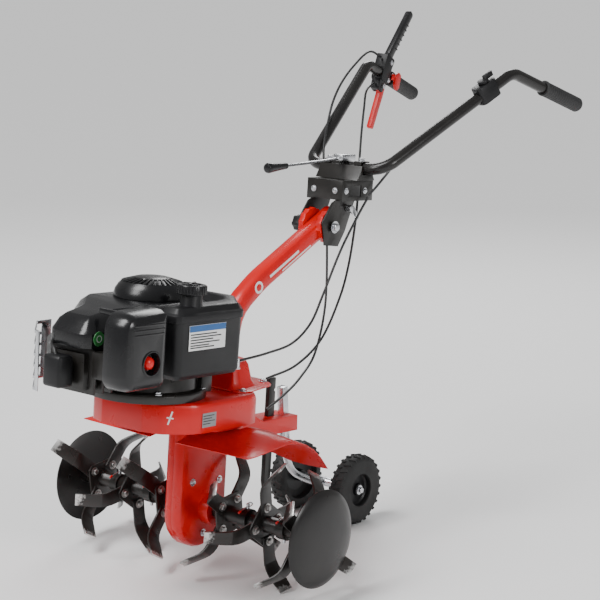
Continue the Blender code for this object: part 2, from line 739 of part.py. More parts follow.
def sweep_rings(line, half_w, half_h, steps=2):
    """Rounded-rectangle sections square to a line lying in the YZ plane."""
    rings = []
    corner = min(half_w, half_h) * 0.62
    section = rounded(((-half_w, -half_h, corner), (half_w, -half_h, corner), (half_w, half_h, corner),
                       (-half_w, half_h, corner)), 0.0, steps)
    for i, point in enumerate(line):
        before = line[max(i - 1, 0)]
        after = line[min(i + 1, len(line) - 1)]
        along = (Vector(after) - Vector(before)).normalized()
        lift = Vector((1, 0, 0)).cross(along)
        if i == 0:
            lift = Vector((0, -1, 0))
        rings.append([Vector(point) + Vector((1, 0, 0)) * a + lift * b for a, b in section])
    return rings


column = loft("handle_column", sweep_rings(column_line, 0.0185, 0.0205), RED, cap_first=True, cap_last=True)
bm = bmesh.new()
bm.from_mesh(column.data)
bmesh.ops.recalc_face_normals(bm, faces=bm.faces)
bm.to_mesh(column.data)
bm.free()
fuse(column, slab("column_foot", rounded(((-0.036, 0.022, 0.01), (0.036, 0.022, 0.01), (0.036, 0.078, 0.01),
                                          (-0.036, 0.078, 0.01)), 0, 1), "xy", PAN_TOP + GAP, PAN_TOP + 0.0045))
teeth = []
for i in range(28):
    r = 0.036 if i % 2 else 0.0335
    teeth.append((PIVOT_Y + r * math.cos(2 * math.pi * i / 28), PIVOT_Z + r * math.sin(2 * math.pi * i / 28)))
fuse(column, slab("column_serration", teeth, "yz", 0.0170, 0.0290),
     slab("column_serration_right", teeth, "yz", -0.0290, -0.0170))
cut(column, rod("pivot_bore", (-0.05, PIVOT_Y, PIVOT_Z), (0.05, PIVOT_Y, PIVOT_Z), 0.0065, cutter=True, sides=16))

side_outline = [
    (PIVOT_Y - 0.022, PIVOT_Z - 0.038), (PIVOT_Y + 0.024, PIVOT_Z - 0.042), (PIVOT_Y + 0.045, PIVOT_Z - 0.010),
    (PIVOT_Y + 0.072, PIVOT_Z + 0.054), (0.4480, 0.6025), (0.4480, 0.6425), (0.3440, 0.6425), (0.3440, 0.6025),
    (PIVOT_Y - 0.004, PIVOT_Z + 0.050), (PIVOT_Y - 0.034, PIVOT_Z + 0.010),
]
head = slab("head_bracket", side_outline, "yz", 0.0300, 0.0330, BLACK_STEEL)
fuse(head,
     slab("head_side_right", side_outline, "yz", -0.0330, -0.0300),
     box("head_front", (-0.046, 0.3420, 0.6020), (0.046, 0.3450, 0.6425), cutter=True),
     box("head_top", (-0.046, 0.3420, 0.6395), (0.046, 0.4480, 0.6425), cutter=True),
     box("head_left", (0.0435, 0.3430, 0.6000), (0.0465, 0.4480, 0.6425), cutter=True),
     box("head_shelf_left", (0.0320, 0.3430, 0.6000), (0.0465, 0.4480, 0.6030), cutter=True),
     box("head_right", (-0.0465, 0.3430, 0.6000), (-0.0435, 0.4480, 0.6425), cutter=True),
     box("head_shelf_right", (-0.0465, 0.3430, 0.6000), (-0.0320, 0.4480, 0.6030), cutter=True),
     rod("head_bolt", (-0.0575, PIVOT_Y, PIVOT_Z), (0.0400, PIVOT_Y, PIVOT_Z), 0.0052, sides=16),
     rod("swivel_post", (0, SWIVEL_Y, 0.6415), (0, SWIVEL_Y, 0.6650), 0.0060, sides=16))
cut(head, box("head_window", (0.040, 0.366, 0.6085), (0.050, 0.408, 0.632), cutter=True))
bake(head)
head.data.transform(Matrix.Translation((0, -PIVOT_Y, -PIVOT_Z)))
head.location = (0, PIVOT_Y, PIVOT_Z)

knob_profile = []
for i in range(24):
    r = 0.0170 if i % 4 < 2 else 0.0148
    knob_profile.append((PIVOT_Y + r * math.cos(2 * math.pi * i / 24), PIVOT_Z + r * math.sin(2 * math.pi * i / 24)))
knob = slab("height_knob", knob_profile, "yz", -0.0620, -0.0420, BLACK_PLASTIC)
fuse(knob, rod("knob_neck", (-0.0425, PIVOT_Y, PIVOT_Z), (-0.0336, PIVOT_Y, PIVOT_Z), 0.0105, sides=20))
cut(knob, rod("knob_bore", (-0.0585, PIVOT_Y, PIVOT_Z), (-0.03, PIVOT_Y, PIVOT_Z), 0.0056, cutter=True, sides=16))
bake(knob)
knob.data.transform(Matrix.Translation((0, -PIVOT_Y, -PIVOT_Z)))
knob.location = (0, PIVOT_Y, PIVOT_Z)

WING = Vector((0.0, 0.380, 0.584))
wing = rod("wing_lever", (0.0336, WING.y, WING.z), (0.0470, WING.y, WING.z), 0.0070, ZINC, sides=16)
fuse(wing, slab("wing_blade", rounded(((WING.y - 0.0065, WING.z - 0.004, 0.004), (WING.y + 0.0245, WING.z - 0.026, 0.004),
                                       (WING.y + 0.0275, WING.z - 0.019, 0.004), (WING.y + 0.0065, WING.z + 0.006, 0.004)),
                                      0, 2), "yz", 0.0430, 0.0465))
bake(wing)
wing.data.transform(Matrix.Translation((0, -WING.y, -WING.z)))
wing.location = (0, WING.y, WING.z)

# ---- handlebar and its clamp -------------------------------------------------
channel_outline = [(SWIVEL_Y - 0.030, 0.6430), (SWIVEL_Y + 0.030, 0.6430), (SWIVEL_Y + 0.020, 0.6600),
                   (SWIVEL_Y + 0.0165, 0.6735), (SWIVEL_Y + 0.0128, 0.6735), (SWIVEL_Y + 0.0128, 0.6550),
                   (SWIVEL_Y - 0.0128, 0.6550), (SWIVEL_Y - 0.0128, 0.6735), (SWIVEL_Y - 0.0165, 0.6735),
                   (SWIVEL_Y - 0.020, 0.6600)]
clamp = slab("swivel_clamp", channel_outline, "yz", -0.056, 0.056, BLACK_STEEL)
cut(clamp, rod("clamp_bore", (0, SWIVEL_Y, 0.63), (0, SWIVEL_Y, 0.6660), 0.0064, cutter=True, sides=16))
bake(clamp)
clamp.data.transform(Matrix.Translation((0, -SWIVEL_Y, 0)))
clamp.location = (0, SWIVEL_Y, 0)

LOWER = Vector((0.098, SWIVEL_Y, BAR_MID_Z))


def side_point(v, hand):
    return Vector((v.x * hand, v.y, v.z))


bar_corners = [side_point(GRIP_END, -1), side_point(BEND_TOP, -1), side_point(LOWER, -1), side_point(LOWER, 1),
               side_point(BEND_TOP, 1), side_point(GRIP_END, 1)]
handle = tube("handlebar", bent_path(bar_corners, [0.045, 0.045, 0.045, 0.045], 6), BAR_TUBE_R, TUBE_GREY, sides=2,
              pivot=(0, SWIVEL_Y, BAR_MID_Z))
cut(handle, rod("post_dimple", (0, SWIVEL_Y, 0.63), (0, SWIVEL_Y, 0.6665), 0.0064, cutter=True, sides=16))

GRIP_DIR = (GRIP_END - BEND_TOP).normalized()
for hand, word in ((1, "left"), (-1, "right")):
    end = side_point(GRIP_END + GRIP_DIR * 0.004, hand)
    start = side_point(GRIP_END - GRIP_DIR * 0.128, hand)
    grip = rod("grip_" + word, start, end, 0.0168, RUBBER, sides=20)
    soften(grip, 0.003, 1)
    bore_end = side_point(GRIP_END + GRIP_DIR * 0.0004, hand)
    bore_start = side_point(GRIP_END - GRIP_DIR * 0.140, hand)
    cut(bake(grip), rod("grip_bore_" + word, bore_start, bore_end, BAR_TUBE_R + 0.0003, cutter=True, sides=24))

release = tube("release_lever", [(0.000, SWIVEL_Y - 0.0210, 0.6860), (0.000, SWIVEL_Y - 0.070, 0.6810),
                                 (0.000, SWIVEL_Y - 0.215, 0.6700)], 0.0032, ZINC, sides=2)
fuse(release,
     rod("release_knob", (0, SWIVEL_Y - 0.200, 0.6711), (0, SWIVEL_Y - 0.256, 0.6668), 0.0062, sides=20, radius_end=0.0100),
     box("release_boss", (-0.012, SWIVEL_Y - 0.0300, 0.6812), (0.012, SWIVEL_Y + 0.0180, 0.6945), cutter=True, bevel=0.002))
bake(release)
release.data.transform(Matrix.Translation((0, -SWIVEL_Y, -0.6845)))
release.location = (0, SWIVEL_Y, 0.6845)

# ---- right-hand controls --------------------------------------------------------
CTRL = side_point(BEND_TOP + GRIP_DIR * 0.072, -1)
ALONG = side_point(GRIP_DIR, -1)
ALONG = Vector((-GRIP_DIR.x, GRIP_DIR.y, GRIP_DIR.z))
ACROSS = Vector((1, 0, 0))
ACROSS = (ACROSS - ALONG * ACROSS.dot(ALONG)).normalized()
LIFT = ACROSS.cross(ALONG).normalized()
CONTROL = Matrix((
    (ACROSS.x, ALONG.x, LIFT.x, CTRL.x), (ACROSS.y, ALONG.y, LIFT.y, CTRL.y), (ACROSS.z, ALONG.z, LIFT.z, CTRL.z),
    (0, 0, 0, 1),
))


def ctrl(x, y, z):
    """A point in the right-hand control's own axes: across, along the bar, away from it."""
    return CONTROL @ Vector((x, y, z))


def ctrl_slab(name, outline, low, high, mat=None, cutter=False):
    obj = slab(name, outline, "yz", low, high, mat, cutter)
    obj.data.transform(CONTROL)
    return obj


housing = ctrl_slab("control_housing", rounded((
    (-0.020, -0.0190, 0.006), (0.022, -0.0190, 0.006), (0.020, 0.018, 0.004), (0.026, 0.040, 0.004),
    (-0.014, 0.046, 0.004), (-0.016, 0.018, 0.004)), 0, 2), -0.0140, 0.0140, BLACK_PLASTIC)
fuse(housing, ctrl_slab("housing_arm", rounded((
    (-0.018, -0.040, 0.005), (0.004, -0.046, 0.005), (0.016, -0.016, 0.004), (-0.018, -0.012, 0.004)), 0, 2), -0.0110, 0.0110))
cut(housing,
    rod("housing_bore", ctrl(0, -0.10, 0), ctrl(0, 0.10, 0), BAR_TUBE_R + 0.0003, cutter=True, sides=24),
    ctrl_slab("lever_slot_top", [(-0.004, 0.0215), (0.040, 0.0155), (0.040, 0.060), (-0.004, 0.060)], -0.0078, 0.0078,
              cutter=True),
    ctrl_slab("lever_slot_low", [(-0.008, -0.060), (0.030, -0.060), (0.030, -0.0160), (-0.008, -0.0170)], -0.0066, 0.0066,
              cutter=True))
bake(housing)

TOP_PIVOT = (0.006, 0.030)
LOW_PIVOT = (0.001, -0.030)
forward = ctrl_slab("forward_lever", rounded((
    (-0.001, 0.0235, 0.004), (0.014, 0.0235, 0.004), (0.026, 0.046, 0.006), (0.079, 0.168, 0.005), (0.062, 0.175, 0.005),
    (0.006, 0.052, 0.006), (-0.001, 0.040, 0.004)), 0, 2), -0.0062, 0.0062, BLACK_PLASTIC)
soften(forward, 0.0022, 2)
bake(forward)
reverse = ctrl_slab("reverse_lever", rounded((
    (-0.003, -0.0250, 0.003), (-0.003, -0.036, 0.003), (0.004, -0.046, 0.004), (-0.004, -0.132, 0.004),
    (0.010, -0.134, 0.004), (0.021, -0.050, 0.006), (0.022, -0.030, 0.004), (0.012, -0.0230, 0.003)), 0, 2),
    -0.0055, 0.0055, RED_PLASTIC)
soften(reverse, 0.0018, 2)
bake(reverse)
latch = ctrl_slab("safety_latch", rounded((
    (0.0300, 0.0050, 0.003), (0.0340, -0.0150, 0.003), (0.0470, -0.0290, 0.005), (0.0560, -0.0180, 0.005),
    (0.0540, 0.0120, 0.005), (0.0400, 0.0160, 0.003)), 0, 2)[::1], 0.0175, 0.0245, RED_PLASTIC)
fuse(latch, ctrl_slab("latch_arm", rounded((
    (0.0240, -0.0060, 0.002), (0.0385, -0.0060, 0.002), (0.0385, 0.0080, 0.002), (0.0240, 0.0080, 0.002)), 0, 1),
    0.0145, 0.0185))
bake(latch)
for lever, (y, z) in ((forward, TOP_PIVOT), (reverse, LOW_PIVOT), (latch, (0.028, 0.001))):
    where = ctrl(0, y, z)
    lever.data.transform(Matrix.Translation(-where))
    lever.location = where

# ---- throttle control --------------------------------------------------------------
BAR_DIR = (BEND_TOP - LOWER).normalized()
THROTTLE = LOWER + BAR_DIR * 0.318
T_UP = (Vector((0, 0, 1)) - BAR_DIR * BAR_DIR.z).normalized()
T_SIDE = BAR_DIR.cross(T_UP).normalized()
T_FRAME = Matrix((
    (T_SIDE.x, BAR_DIR.x, T_UP.x, THROTTLE.x), (T_SIDE.y, BAR_DIR.y, T_UP.y, THROTTLE.y),
    (T_SIDE.z, BAR_DIR.z, T_UP.z, THROTTLE.z), (0, 0, 0, 1),
))


def t_slab(name, outline, plane, low, high, mat=None, cutter=False):
    obj = slab(name, outline, plane, low, high, mat, cutter)
    obj.data.transform(T_FRAME)
    return obj


t_house = t_slab("throttle_housing", rounded(((-0.016, -0.030, 0.010), (0.016, -0.030, 0.010), (0.016, 0.026, 0.012),
                                              (-0.016, 0.026, 0.012)), 0, 3), "xy", -0.0165, 0.0215, BLACK_PLASTIC)
cut(t_house, rod("throttle_bore", T_FRAME @ Vector((0, -0.06, 0)), T_FRAME @ Vector((0, 0.06, 0)), BAR_TUBE_R + 0.0003,
                 cutter=True, sides=24))
bake(t_house)
t_lever = t_slab("throttle_lever", ring_points(0.0125, 24, (0.0, 0.0)), "xy", 0.0220, 0.0290, BLACK_PLASTIC)
fuse(t_lever, t_slab("throttle_tab", rounded(((-0.0040, 0.004, 0.001), (0.0040, 0.004, 0.001), (0.0040, 0.030, 0.003),
                                              (-0.0040, 0.030, 0.003)), 0, 2), "xy", 0.0250, 0.0360))
bake(t_lever)
where = T_FRAME @ Vector((0, 0, 0.0220))
t_lever.data.transform(Matrix.Translation(-where))
t_lever.location = where

# ---- engine ---------------------------------------------------------------------------
BASE = PAN_TOP + GAP
crankcase = turned("crankcase", [(0.0, 0.345), (0.060, 0.345), (0.090, 0.330), (0.096, 0.300), (0.096, 0.2640),
                                 (0.110, 0.2620), (0.112, 0.2590), (0.112, BASE), (0.0, BASE)],
                   (0, CRANK_Y, 0), (0, 0, 1), BLACK_STEEL, steps=24)
bake(crankcase)
fins = []
for i in range(5):
    y = -0.272 - 0.0220 * i
    fins.append(box("cylinder_fin_%d" % (i + 1), (-0.056, y - 0.0030, 0.272), (0.056, y + 0.0030, 0.3530), cutter=True))
fuse(crankcase, box("cylinder_core", (-0.042, -0.374, 0.280), (0.042, -0.20, 0.3450), cutter=True), *fins,
     box("intake", (0.040, -0.352, 0.318), (0.0640, -0.322, 0.344), cutter=True),
     box("carburettor", (0.0600, -0.372, 0.305), (0.1110, -0.302, 0.352), cutter=True),
     rod("oil_neck", (-0.1140, -0.150, 0.250), (-0.1140, -0.150, 0.3250), 0.0095, sides=20),
     box("control_post", (0.0700, -0.112, 0.255), (0.0900, -0.084, 0.2940), cutter=True))
cut(crankcase,
    rod("crank_bore", (0, CRANK_Y, 0.20), (0, CRANK_Y, 0.36), 0.0130, cutter=True, sides=24),
    rod("shaft_relief", (0, INPUT_Y, 0.22), (0, INPUT_Y, 0.2445), 0.0130, cutter=True, sides=16))

SHROUD = (
    (-0.048, -0.382, 0.026), (0.058, -0.382, 0.026), (0.058, -0.303, 0.030), (0.1085, -0.276, 0.045),
    (0.1085, -0.062, 0.070), (-0.1085, -0.062, 0.070), (-0.1085, -0.262, 0.060), (-0.056, -0.318, 0.040),
)
shroud_rings = [
    level(rounded(SHROUD, 0.0), 0.3560), level(rounded(SHROUD, 0.0), 0.3920), level(rounded(SHROUD, 0.0045), 0.4080),
    level(rounded(SHROUD, 0.0130), 0.4205), level(rounded(SHROUD, 0.0260), 0.4290),
]


def tilt_top(rings, start):
    """Let the upper rings fall away towards the front of the engine."""
    out = []
    for k, ring in enumerate(rings):
        share = 0.0 if k < 1 else min(1.0, k / 2)
        out.append([(x, y, z - share * 0.16 * max(0.0, start - y)) for x, y, z in ring])
    return out


shroud = loft("blower_housing", tilt_top(shroud_rings, -0.245), BLACK_PLASTIC, cap_last=True, thick=0.0025)
bm = bmesh.new()
bm.from_mesh(shroud.data)
bmesh.ops.triangulate(bm, faces=[f for f in bm.faces if len(f.verts) > 4])
bm.to_mesh(shroud.data)
bm.free()

turned("starter_cover", [(0.0, 0.4690), (0.030, 0.4670), (0.056, 0.4580), (0.0690, 0.4440), (0.0720, 0.4293),
                         (0.0685, 0.4293), (0.0640, 0.4420), (0.030, 0.4620), (0.0, 0.4640)],
       (0, CRANK_Y, 0), (0, 0, 1), BLACK_PLASTIC, steps=28)

TANK = (
    (0.1125, -0.264, 0.008), (0.1640, -0.264, 0.016), (0.1640, -0.094, 0.018), (0.094, -0.025, 0.024),
    (-0.006, -0.025, 0.008), (-0.006, -0.0575, 0.006), (0.1125, -0.0575, 0.062),
)
tank_rings = [
    level(rounded(TANK, 0.008), 0.3030), level(rounded(TANK, 0.002), 0.3110),
    level(rounded(TANK, 0.0005), 0.4065), level(rounded(TANK, -0.0030), 0.4080),
    level(rounded(TANK, -0.0030), 0.4200), level(rounded(TANK, 0.003), 0.4235),
    level(rounded(TANK, 0.008), 0.4330), level(rounded(TANK, 0.013), 0.4350),
]
tank = loft("fuel_tank", tank_rings, BLACK_PLASTIC, cap_first=True, cap_last=True)
CAP = Vector((0.1375, -0.206, 0.0))
fuse(tank, rod("filler_neck", (CAP.x, CAP.y, 0.425), (CAP.x, CAP.y, 0.4540), 0.0200, sides=28))
cut(tank, rod("filler_bore", (CAP.x, CAP.y, 0.40), (CAP.x, CAP.y, 0.46), 0.0160, cutter=True, sides=28))

cap_ring = []
for i in range(24):
    r = 0.0280
    cap_ring.append((CAP.x + r * math.cos(2 * math.pi * i / 24), CAP.y + r * math.sin(2 * math.pi * i / 24)))
fuel_cap = slab("fuel_cap", cap_ring, "xy", 0.4545, 0.4740, BLACK_PLASTIC)
soften(fuel_cap, 0.002, 1, 60)
bake(fuel_cap)
fuel_cap.data.transform(Matrix.Translation((-CAP.x, -CAP.y, -0.4545)))
fuel_cap.location = (CAP.x, CAP.y, 0.4545)

AIR = ((-0.400, 0.292, 0.030), (-0.286, 0.292, 0.018), (-0.284, 0.438, 0.014), (-0.396, 0.432, 0.030))
air_rings = []
for x, inset in ((0.1120, 0.0), (0.1480, 0.002), (0.1610, 0.008), (0.1660, 0.020)):
    air_rings.append([(x, y, z) for y, z in rounded(AIR, inset, 4)])
air = loft("air_filter_cover", air_rings, BLACK_PLASTIC, cap_first=True, cap_last=True)
bulb_at = Vector((0.1520, -0.331, 0.343))
cut(air, rod("primer_recess", (0.1475, bulb_at.y, bulb_at.z), (0.18, bulb_at.y, bulb_at.z), 0.0195, cutter=True, sides=28))
turned("primer_bulb", [(0.0, 0.0140), (0.006, 0.0130), (0.0105, 0.0095), (0.0120, 0.0040), (0.0120, 0.0015), (0.0, 0.0015)],
       bulb_at, (1, 0, 0), RED_PLASTIC, steps=24)

MUFFLER = ((-0.0600, -0.266, 0.008), (-0.138, -0.266, 0.014), (-0.138, -0.296, 0.010), (-0.078, -0.352, 0.010),
           (-0.0600, -0.352, 0.008))
muffler_rings = [
    level(rounded(MUFFLER, 0.006, 3), 0.2780), level(rounded(MUFFLER, 0.0, 3), 0.2840),
    level(rounded(MUFFLER, 0.0, 3), 0.3460), level(rounded(MUFFLER, 0.006, 3), 0.3520),
]
muffler = loft("muffler", muffler_rings, CAST, cap_first=True, cap_last=True)

guard_line = [(-0.0560, -0.390), (-0.0760, -0.382), (-0.1480, -0.312), (-0.1500, -0.275)]
outer_line = [(-0.0560, -0.3925), (-0.0770, -0.3843), (-0.1502, -0.3128), (-0.1525, -0.275)]
guard = slab("muffler_guard", outer_line[::-1] + guard_line, "xy", 0.2640, 0.3740, ZINC)
for k in range(5):
    low = 0.2700 + 0.0206 * k
    cut(guard, slab("guard_window_%d" % (k + 1),
                    [(-0.0700, -0.400), (-0.0700, -0.370), (-0.1440, -0.300), (-0.1640, -0.300), (-0.1640, -0.330)][::-1],
                    "xy", low, low + 0.0150, cutter=True))
bake(guard)

box("plug_cover", (-0.0200, -0.4160, 0.2840), (0.0240, -0.3800, 0.3420), BLACK_PLASTIC, bevel=0.006)

turned("oil_cap", [(0.0, 0.3440), (0.012, 0.3440), (0.0140, 0.3410), (0.0140, 0.3300), (0.0110, 0.3255), (0.0, 0.3255)],
       (-0.1140, -0.150, 0), (0, 0, 1), BLACK_PLASTIC, steps=24)
pull = box("starter_handle", (-0.1300, -0.2360, 0.3880), (-0.1150, -0.1960, 0.4000), BLACK_PLASTIC, bevel=0.004)
fuse(bake(pull), rod("starter_stem", (-0.1160, -0.216, 0.394), (-0.1092, -0.216, 0.394), 0.0050, sides=16))
bake(pull)
pull.data.transform(Matrix.Translation((0.1092, 0.216, -0.394)))
pull.location = (-0.1092, -0.216, 0.394)

ARM = Vector((0.080, -0.098, 0.2945))
arm = slab("throttle_arm", loop_outline((ARM.x, ARM.y), 0.007, (0.1050, -0.030), 0.006, 6), "xy", 0.2944, 0.2966, ZINC)
fuse(arm, rod("arm_stud", (0.1050, -0.030, 0.2955), (0.1050, -0.030, 0.3140), 0.0045, sides=16))
bake(arm)
arm.data.transform(Matrix.Translation(-ARM))
arm.location = ARM

# ---- wheels ---------------------------------------------------------------------------------
for hand, word in ((1, "left"), (-1, "right")):
    middle = (WHEEL_INNER + WHEEL_OUTER) / 2
    half = (WHEEL_OUTER - WHEEL_INNER) / 2
    turned(
        "wheel_" + word,
        [(0.0063, 0.0120), (0.0125, 0.0120), (0.0125, 0.0030), (0.0335, 0.0030), (0.0345, half), (0.0690, half - 0.0010),
         (WHEEL_RADIUS, half - 0.0080), (WHEEL_RADIUS, -half + 0.0080), (0.0690, -half + 0.0010), (0.0600, -half),
         (0.0560, -0.0020), (0.0140, -0.0020), (0.0130, -half), (0.0063, -half), (0.0063, 0.0120)],
        (hand * middle, WHEEL_Y, WHEEL_Z), (hand, 0, 0), RUBBER, steps=24,
    )

# ---- cables ----------------------------------------------------------------------------------
CABLE_R = 0.0024


def cable(name, knots, step=0.026):
    return tube(name, smooth_path(knots, step), CABLE_R, CABLE, sides=2)


forward_out = ctrl(0.0, -0.019, 0.034)
reverse_out = ctrl(0.0, -0.024, -0.030)
throttle_out = T_FRAME @ Vector((-0.0170, -0.0325, 0.0))
cable("forward_cable_upper", [forward_out, (-0.1970, 0.7313, 0.9150), (-0.1900, 0.6644, 0.8782), (-0.1780, 0.6078, 0.8386),
                              (-0.1600, 0.5592, 0.7982), (-0.1270, 0.5031, 0.7552), (-0.1000, 0.4603, 0.7175),
                              (-0.0840, 0.4400, 0.6820), (-0.0680, 0.4310, 0.6400), (-0.0620, 0.4237, 0.6129)])
cable("forward_cable_lower", [(-0.0615, 0.4235, 0.6090), (-0.0580, 0.4260, 0.5600), (-0.0450, 0.4226, 0.4786),
                              (-0.0100, 0.3820, 0.3687), (0.0450, 0.2863, 0.2866), (0.0850, 0.1900, 0.2500),
                              (0.1120, 0.1080, 0.2290), (0.1335, 0.0300, 0.2130)])
cable("reverse_cable_upper", [reverse_out, (-0.1850, 0.7150, 0.8250), (-0.1500, 0.6630, 0.7860), (-0.1100, 0.6060, 0.7410),
                              (-0.0750, 0.5580, 0.6980), (-0.0450, 0.5180, 0.6530), (-0.0150, 0.4800, 0.6020)])
cable("reverse_cable_lower", [(-0.0140, 0.4785, 0.5985), (0.0000, 0.4570, 0.5480), (0.0100, 0.4300, 0.4620),
                              (0.0260, 0.3840, 0.3930), (0.0420, 0.3085, 0.3130), (0.0500, 0.2193, 0.2680),
                              (0.0600, 0.1150, 0.2530)])
cable("throttle_cable_upper", [throttle_out, T_FRAME @ Vector((-0.0180, -0.080, 0.0)),
                               T_FRAME @ Vector((-0.0185, -0.160, 0.0)), T_FRAME @ Vector((-0.0185, -0.235, -0.002)),
                               (0.0880, 0.4560, 0.6740), (0.0750, 0.4300, 0.6380), (0.0620, 0.4150, 0.6129)])
cable("throttle_cable_lower", [(0.0610, 0.4140, 0.6090), (0.0500, 0.3940, 0.5650), (0.0500, 0.3447, 0.4974),
                               (0.0540, 0.2883, 0.4072), (0.0620, 0.2433, 0.3542), (0.0760, 0.1700, 0.3220),
                               (0.0950, 0.0700, 0.3140), (0.1050, -0.0225, 0.3100)])
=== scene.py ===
# Walk-behind tiller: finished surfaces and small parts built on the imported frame.
# The machine is modelled level and then leaned by leanAngle, as it stands on tines and wheels.
import json
import math
import bpy
from mathutils import Matrix, Vector

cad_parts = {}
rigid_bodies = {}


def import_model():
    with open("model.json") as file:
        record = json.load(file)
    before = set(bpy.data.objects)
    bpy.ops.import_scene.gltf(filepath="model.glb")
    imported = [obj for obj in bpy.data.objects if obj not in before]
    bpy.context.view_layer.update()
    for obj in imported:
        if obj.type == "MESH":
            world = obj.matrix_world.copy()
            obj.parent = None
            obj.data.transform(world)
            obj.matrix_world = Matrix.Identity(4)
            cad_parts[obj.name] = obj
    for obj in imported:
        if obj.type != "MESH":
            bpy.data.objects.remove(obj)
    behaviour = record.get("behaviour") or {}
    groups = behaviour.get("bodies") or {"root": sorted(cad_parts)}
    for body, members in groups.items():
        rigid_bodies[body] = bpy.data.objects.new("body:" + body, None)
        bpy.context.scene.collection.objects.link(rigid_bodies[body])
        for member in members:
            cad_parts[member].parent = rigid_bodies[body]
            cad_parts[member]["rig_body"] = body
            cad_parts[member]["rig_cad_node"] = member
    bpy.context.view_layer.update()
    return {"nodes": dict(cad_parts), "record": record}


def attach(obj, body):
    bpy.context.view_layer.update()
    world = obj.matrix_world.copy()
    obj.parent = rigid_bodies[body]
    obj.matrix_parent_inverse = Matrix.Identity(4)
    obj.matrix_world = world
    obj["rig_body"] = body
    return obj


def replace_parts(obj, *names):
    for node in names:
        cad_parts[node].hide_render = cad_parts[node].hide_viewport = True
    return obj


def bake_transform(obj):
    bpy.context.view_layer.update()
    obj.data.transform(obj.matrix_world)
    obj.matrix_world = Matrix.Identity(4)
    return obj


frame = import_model()
bpy.ops.object.select_all(action="DESELECT")
nodes = frame["nodes"]
bodyOf = {n: b for b, members in frame["record"]["behaviour"]["bodies"].items() for n in members}

leanAngle = math.radians(5.5)
levelFrame = Matrix.Translation((0, -0.32756, 0.12969)) @ Matrix.Rotation(-leanAngle, 4, "X")
axleCentre = (0, -0.32756, 0.12969)

# camera
cameraSet = {"azimuth": 39.0, "elevation": 12.1, "distance": 3.115, "lens": 102, "target": (0.258, -0.32756, 0.5802)}
az, el = math.radians(cameraSet["azimuth"]), math.radians(cameraSet["elevation"])
away = Vector((math.sin(az) * math.cos(el), -math.cos(az) * math.cos(el), math.sin(el)))
bpy.ops.object.camera_add(location=Vector(cameraSet["target"]) + away * cameraSet["distance"])
camera = bpy.context.object
camera.rotation_euler = away.to_track_quat("Z", "Y").to_euler()
camera.data.lens = cameraSet["lens"]
camera.data.sensor_width = 36
bpy.context.scene.camera = camera
print("camera set")


# shader groups
def newGroup(name, inputs, outputs):
    group = bpy.data.node_groups.new(name, "ShaderNodeTree")
    for label, kind, value in inputs:
        group.interface.new_socket(name=label, in_out="INPUT", socket_type=kind).default_value = value
    for label, kind in outputs:
        group.interface.new_socket(name=label, in_out="OUTPUT", socket_type=kind)
    return group, group.nodes.new("NodeGroupInput"), group.nodes.new("NodeGroupOutput")


def addNode(tree, kind, **sockets):
    node = tree.nodes.new(kind)
    for label, value in sockets.items():
        node.inputs[label.replace("_", " ")].default_value = value
    return node


def remap(tree, source, low, high, toLow, toHigh):
    node = tree.nodes.new("ShaderNodeMapRange")
    tree.links.new(source, node.inputs["Value"])
    for label, value in (("From Min", low), ("From Max", high), ("To Min", toLow), ("To Max", toHigh)):
        if hasattr(value, "links"):
            tree.links.new(value, node.inputs[label])
        else:
            node.inputs[label].default_value = value
    return node.outputs["Result"]


def blendColour(tree, mask, first, second):
    node = tree.nodes.new("ShaderNodeMix")
    node.data_type = "RGBA"
    tree.links.new(mask, node.inputs[0])
    for socket, value in ((node.inputs[6], first), (node.inputs[7], second)):
        if hasattr(value, "links"):
            tree.links.new(value, socket)
        else:
            socket.default_value = (*value, 1)
    return node.outputs[2]


# cloudy colour and sheen with a fine grain
skin, skinIn, skinOut = newGroup("surfaceSkin", [
    ("Main Colour", "NodeSocketColor", (0.5, 0.5, 0.5, 1)), ("Second Colour", "NodeSocketColor", (0.4, 0.4, 0.4, 1)),
    ("Cloud Scale", "NodeSocketFloat", 9), ("Grain Scale", "NodeSocketFloat", 900),
    ("Rough Low", "NodeSocketFloat", 0.3), ("Rough High", "NodeSocketFloat", 0.4)],
    [("Colour", "NodeSocketColor"), ("Roughness", "NodeSocketFloat"), ("Height", "NodeSocketFloat")])
place = skin.nodes.new("ShaderNodeTexCoord")
cloud = addNode(skin, "ShaderNodeTexNoise", Detail=3)
grain = addNode(skin, "ShaderNodeTexNoise", Detail=2)
patch = addNode(skin, "ShaderNodeTexNoise", Scale=26, Detail=4)
for node in (cloud, grain, patch):
    skin.links.new(place.outputs["Object"], node.inputs["Vector"])
skin.links.new(skinIn.outputs["Cloud Scale"], cloud.inputs["Scale"])
skin.links.new(skinIn.outputs["Grain Scale"], grain.inputs["Scale"])
cloudMask = remap(skin, cloud.outputs["Fac"], 0.38, 0.66, 0.0, 1.0)
skin.links.new(blendColour(skin, cloudMask, skinIn.outputs["Main Colour"], skinIn.outputs["Second Colour"]),
               skinOut.inputs["Colour"])
skin.links.new(remap(skin, patch.outputs["Fac"], 0.3, 0.7, skinIn.outputs["Rough Low"], skinIn.outputs["Rough High"]),
               skinOut.inputs["Roughness"])
skin.links.new(grain.outputs["Fac"], skinOut.inputs["Height"])

